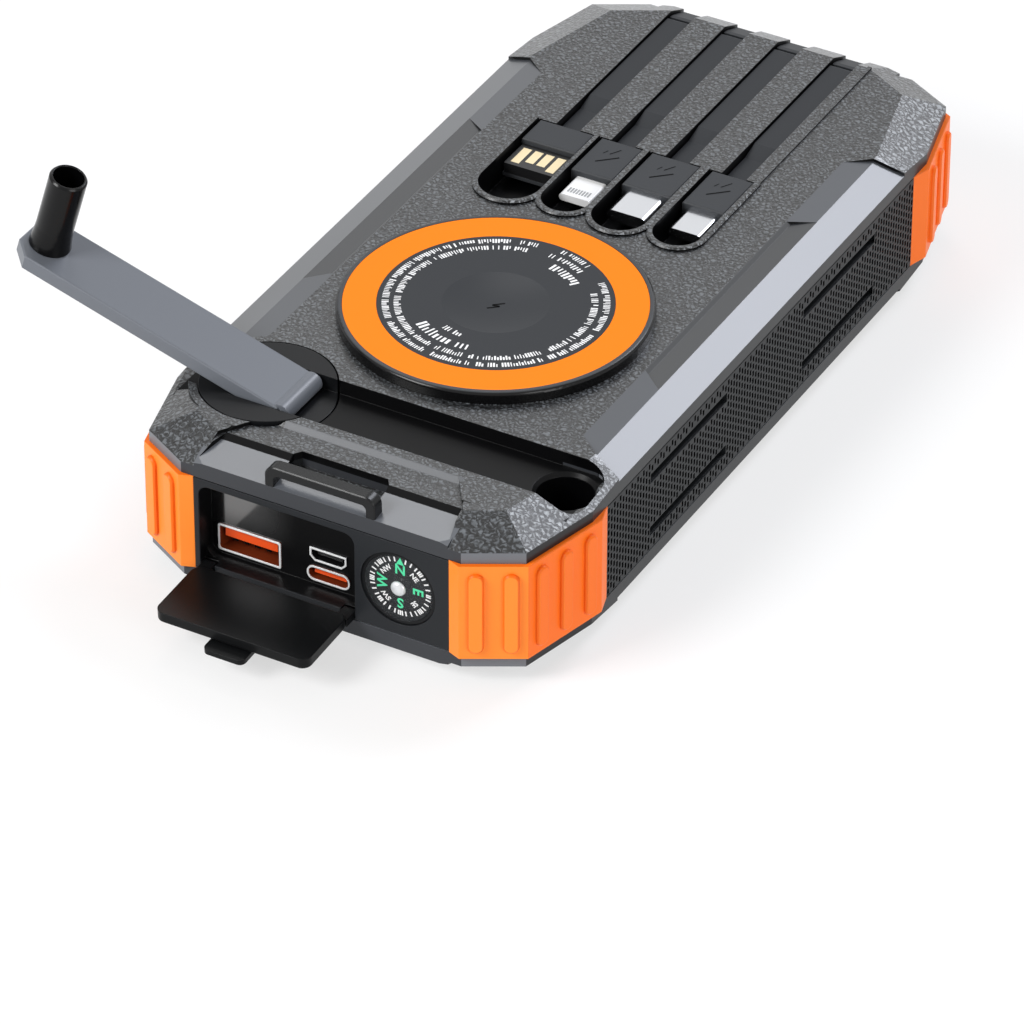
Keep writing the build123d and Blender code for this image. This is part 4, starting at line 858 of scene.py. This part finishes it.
def turnedPiece(name, profile, sides, finish, shadedFacets=None, shadeSmooth=False):
    # the profile of (radius, y) pairs turned round each lamp's own axis, once for each lamp;
    # the darker finish that a third of the inner faces have gives them painted dark reflections
    rings = np.array(profile)
    angle = np.linspace(0, 2 * math.pi, sides, endpoint=False)
    one = np.stack(
        [
            rings[:, :1] * np.cos(angle),
            np.repeat(rings[:, 1:], sides, 1),
            rings[:, :1] * np.sin(angle),
        ],
        2,
    ).reshape(-1, 3)
    low, high = boxOf("torch_reflectors")
    middle = (low + high) / 2
    reach = high[0] - torchLook["bowl"][0][0]
    points = np.concatenate([one + (middle[0] + side * reach, 0, middle[2]) for side in (-1, 1)])
    quads = gridFaces(len(rings), sides)[:, [0, 3, 2, 1]]
    faces = np.concatenate([quads, quads + len(one)])
    second = None
    if shadedFacets:
        ring, spot = np.divmod(np.arange(len(quads)), sides)
        # about a third of the inner faces get the painted dark reflections
        dark = ((spot * 7 + ring * 5) % 9 < 3) & (ring > 1)
        second = (shadedFacets, np.tile(dark, 2))
    return meshPiece(name, points, faces, finish, "casing", shadeSmooth, second)


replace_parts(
    turnedPiece("torch_bowls", torchLook["bowl"], torchLook["bowlSides"], "chrome", "chromePaintedShade"),
    "torch_reflectors",
)
turnedPiece("torch_optics", torchLook["optic"], torchLook["tubeSides"], "optic", shadeSmooth=True)
turnedPiece("torch_cores", torchLook["core"], torchLook["tubeSides"], "core")
print("torch made")

padLook = {
    "rows": (
        # radius, height of the ticks, first and last angle in degrees, pitch
        (20.3, 1.3, 97, 408, 0.52),
        (18.1, 1.3, 101, 400, 0.52),
        (15.2, 2.2, 236, 279, 0.95),
        (12.3, 1.3, 250, 270, 0.62),
        (15.6, 1.9, 52, 82, 0.85),
        (18.4, 1.3, 62, 86, 0.7),
        (20.6, 1.2, 64, 84, 0.6),
    ),
    "stroke": 0.2,
    "dishFloor": 33.38,
    "zigzag": ((-1.1, -1.5), (0.7, 0.1), (-0.7, -0.1), (1.1, 1.5)),
    "zigzagWide": (0.42, 0.5, 0.42),
}


def padMarks():
    # rows of plain upright ticks in groups, and a zigzag in the dish; nothing that can be read
    look = padLook
    low, high = boxOf("pad_face")
    centre = (low + high) / 2
    place = layFlat(centre[0], centre[1], high[2] + 0.03)
    chance = np.random.default_rng(5)
    starts, ends, wide = [], [], []
    for radius, tall, first, last, pitch in look["rows"]:
        angles = np.arange(math.radians(first), math.radians(last), pitch / radius)
        angles = angles[(chance.random(len(angles)) > 0.06) & (np.arange(len(angles)) % 13 != 9)]
        out = np.stack([np.cos(angles), np.sin(angles)], 1)
        height = np.where(chance.random(len(angles)) > 0.4, tall, tall * 0.7)
        outer = radius + tall / 2
        starts.append(out * (outer - height)[:, None])
        ends.append(out * outer)
        wide.append(look["stroke"] * np.where(chance.random(len(angles)) > 0.5, 1.0, 1.6) * tall / 1.2)
    args = (np.concatenate(starts), np.concatenate(ends), np.concatenate(wide), place)
    strokePiece("pad_ticks", *args, "ink", "casing", "white")
    # the zigzag lies on the floor of the dish
    line = np.array(look["zigzag"])
    place = layFlat(centre[0], centre[1], look["dishFloor"])
    args = (line[:-1], line[1:], look["zigzagWide"], place)
    strokePiece("pad_zigzag", *args, "dark", "casing", "pad_black")


padMarks()
print("pad marked")

cameraLook = {
    # angles in degrees, the place in millimetres, and the rest in pixels of the picture
    "azimuth": 28.85,
    "elevation": 35.63,
    "roll": 0.15,
    "place": (507.6, -938.0, 737.6),
    "focalPixels": 6879.8,
    "centrePixel": (517.66, 503.29),
    "picture": 1024,
}


def setCamera():
    look = cameraLook
    a, e, r = (math.radians(look[key]) for key in ("azimuth", "elevation", "roll"))
    back = Vector((math.sin(a) * math.cos(e), -math.cos(a) * math.cos(e), math.sin(e)))
    right = Vector((math.cos(a), math.sin(a), 0))
    up = back.cross(right)
    sideAxis = right * math.cos(r) + up * math.sin(r)
    upAxis = up * math.cos(r) - right * math.sin(r)
    data = bpy.data.cameras.new("camera")
    data.sensor_width = 36.0
    data.lens = look["focalPixels"] / look["picture"] * data.sensor_width
    data.shift_x = 0.5 - look["centrePixel"][0] / look["picture"]
    data.shift_y = look["centrePixel"][1] / look["picture"] - 0.5
    data.clip_start, data.clip_end = 0.01, 100
    camera = bpy.data.objects.new("camera", data)
    bpy.context.scene.collection.objects.link(camera)
    turn = Matrix((sideAxis, upAxis, back)).transposed().to_4x4()
    camera.matrix_world = Matrix.Translation(Vector(look["place"]) * mm) @ turn
    bpy.context.scene.camera = camera


setCamera()

lightLook = {
    "world": 0.3,
    "aim": (0, 0, 0.02),
    "lamps": {
        # name: place in metres, side of the square, watts, colour
        "key": ((-0.55, -0.85, 0.75), 0.5, 12.0, "#FFFFFF"),
        "fill": ((0.85, -0.45, 0.35), 0.5, 3.2, "#FFFFFF"),
        "back": ((0.26, 0.84, 0.84), 0.45, 7.0, "#F0F4FF"),
        "over": ((-0.42, 0.5, 0.86), 0.3, 1.2, "#FFFFFF"),
    },
}


def setLights():
    # four soft lamps, and a plain world that is white where it is seen, mirrored or looked at through glass
    aim = Vector(lightLook["aim"])
    for name, (place, size, watts, tone) in lightLook["lamps"].items():
        data = bpy.data.lights.new(name, "AREA")
        data.shape, data.size, data.energy = "SQUARE", size, watts
        data.color = srgb(tone)[:3]
        lamp = bpy.data.objects.new(name, data)
        lamp.location = place
        lamp.rotation_mode = "QUATERNION"
        lamp.rotation_quaternion = (aim - Vector(place)).to_track_quat("-Z", "Y")
        bpy.context.scene.collection.objects.link(lamp)
    world = bpy.data.worlds.new("studio")
    world.use_nodes = True
    bpy.context.scene.world = world
    sky = NodeTree(world.node_tree)
    rays = ("Is Camera Ray", "Is Glossy Ray", "Is Transmission Ray")
    camera, glossy, through = (sky.node("ShaderNodeLightPath", out=ray) for ray in rays)
    seen = camera.most(glossy).most(through)
    back = world.node_tree.nodes["Background"]
    sky.put(back.inputs["Color"], (1, 1, 1, 1))
    sky.put(back.inputs["Strength"], seen * (1 - lightLook["world"]) + lightLook["world"])


setLights()

floorLook = {"tone": 0.95, "glow": 0.62, "reach": 30.0, "below": 0.0004}  # lengths in metres


def setFloor():
    # a white sheet that keeps the shadow; part of it glows, so that it meets the white background
    look = floorLook
    paint = Paint("floor_white")
    paint.shade(Base_Color=(*[look["tone"]] * 3, 1), Roughness=0.9, Specular_IOR_Level=0.0)
    sheet = Signal(paint, paint.shader.outputs[0])
    glow = paint.node("ShaderNodeEmission", {}, {"Color": (1, 1, 1, 1)})
    lit = paint.node("ShaderNodeMixShader", {}, {0: look["glow"], 1: sheet, 2: glow})
    # from underneath the sheet is clear, so that the solar face can be looked at
    under = paint.node("ShaderNodeNewGeometry", out="Backfacing")
    clear = paint.node("ShaderNodeBsdfTransparent")
    either = paint.node("ShaderNodeMixShader", {}, {0: under, 1: lit, 2: clear})
    paint.put(paint.tree.nodes["Material Output"].inputs["Surface"], either)
    mesh = bpy.data.meshes.new("floor")
    reach, height = look["reach"], -look["below"]
    corners = [(x * reach, y * reach, height) for x, y in ((-1, -1), (1, -1), (1, 1), (-1, 1))]
    mesh.from_pydata(corners, [], [(0, 1, 2, 3)])
    mesh.materials.append(paint.material)
    floor = bpy.data.objects.new("floor", mesh)
    bpy.context.scene.collection.objects.link(floor)


setFloor()
bpy.context.scene.view_settings.view_transform = "Standard"
print("camera, lights and floor set")
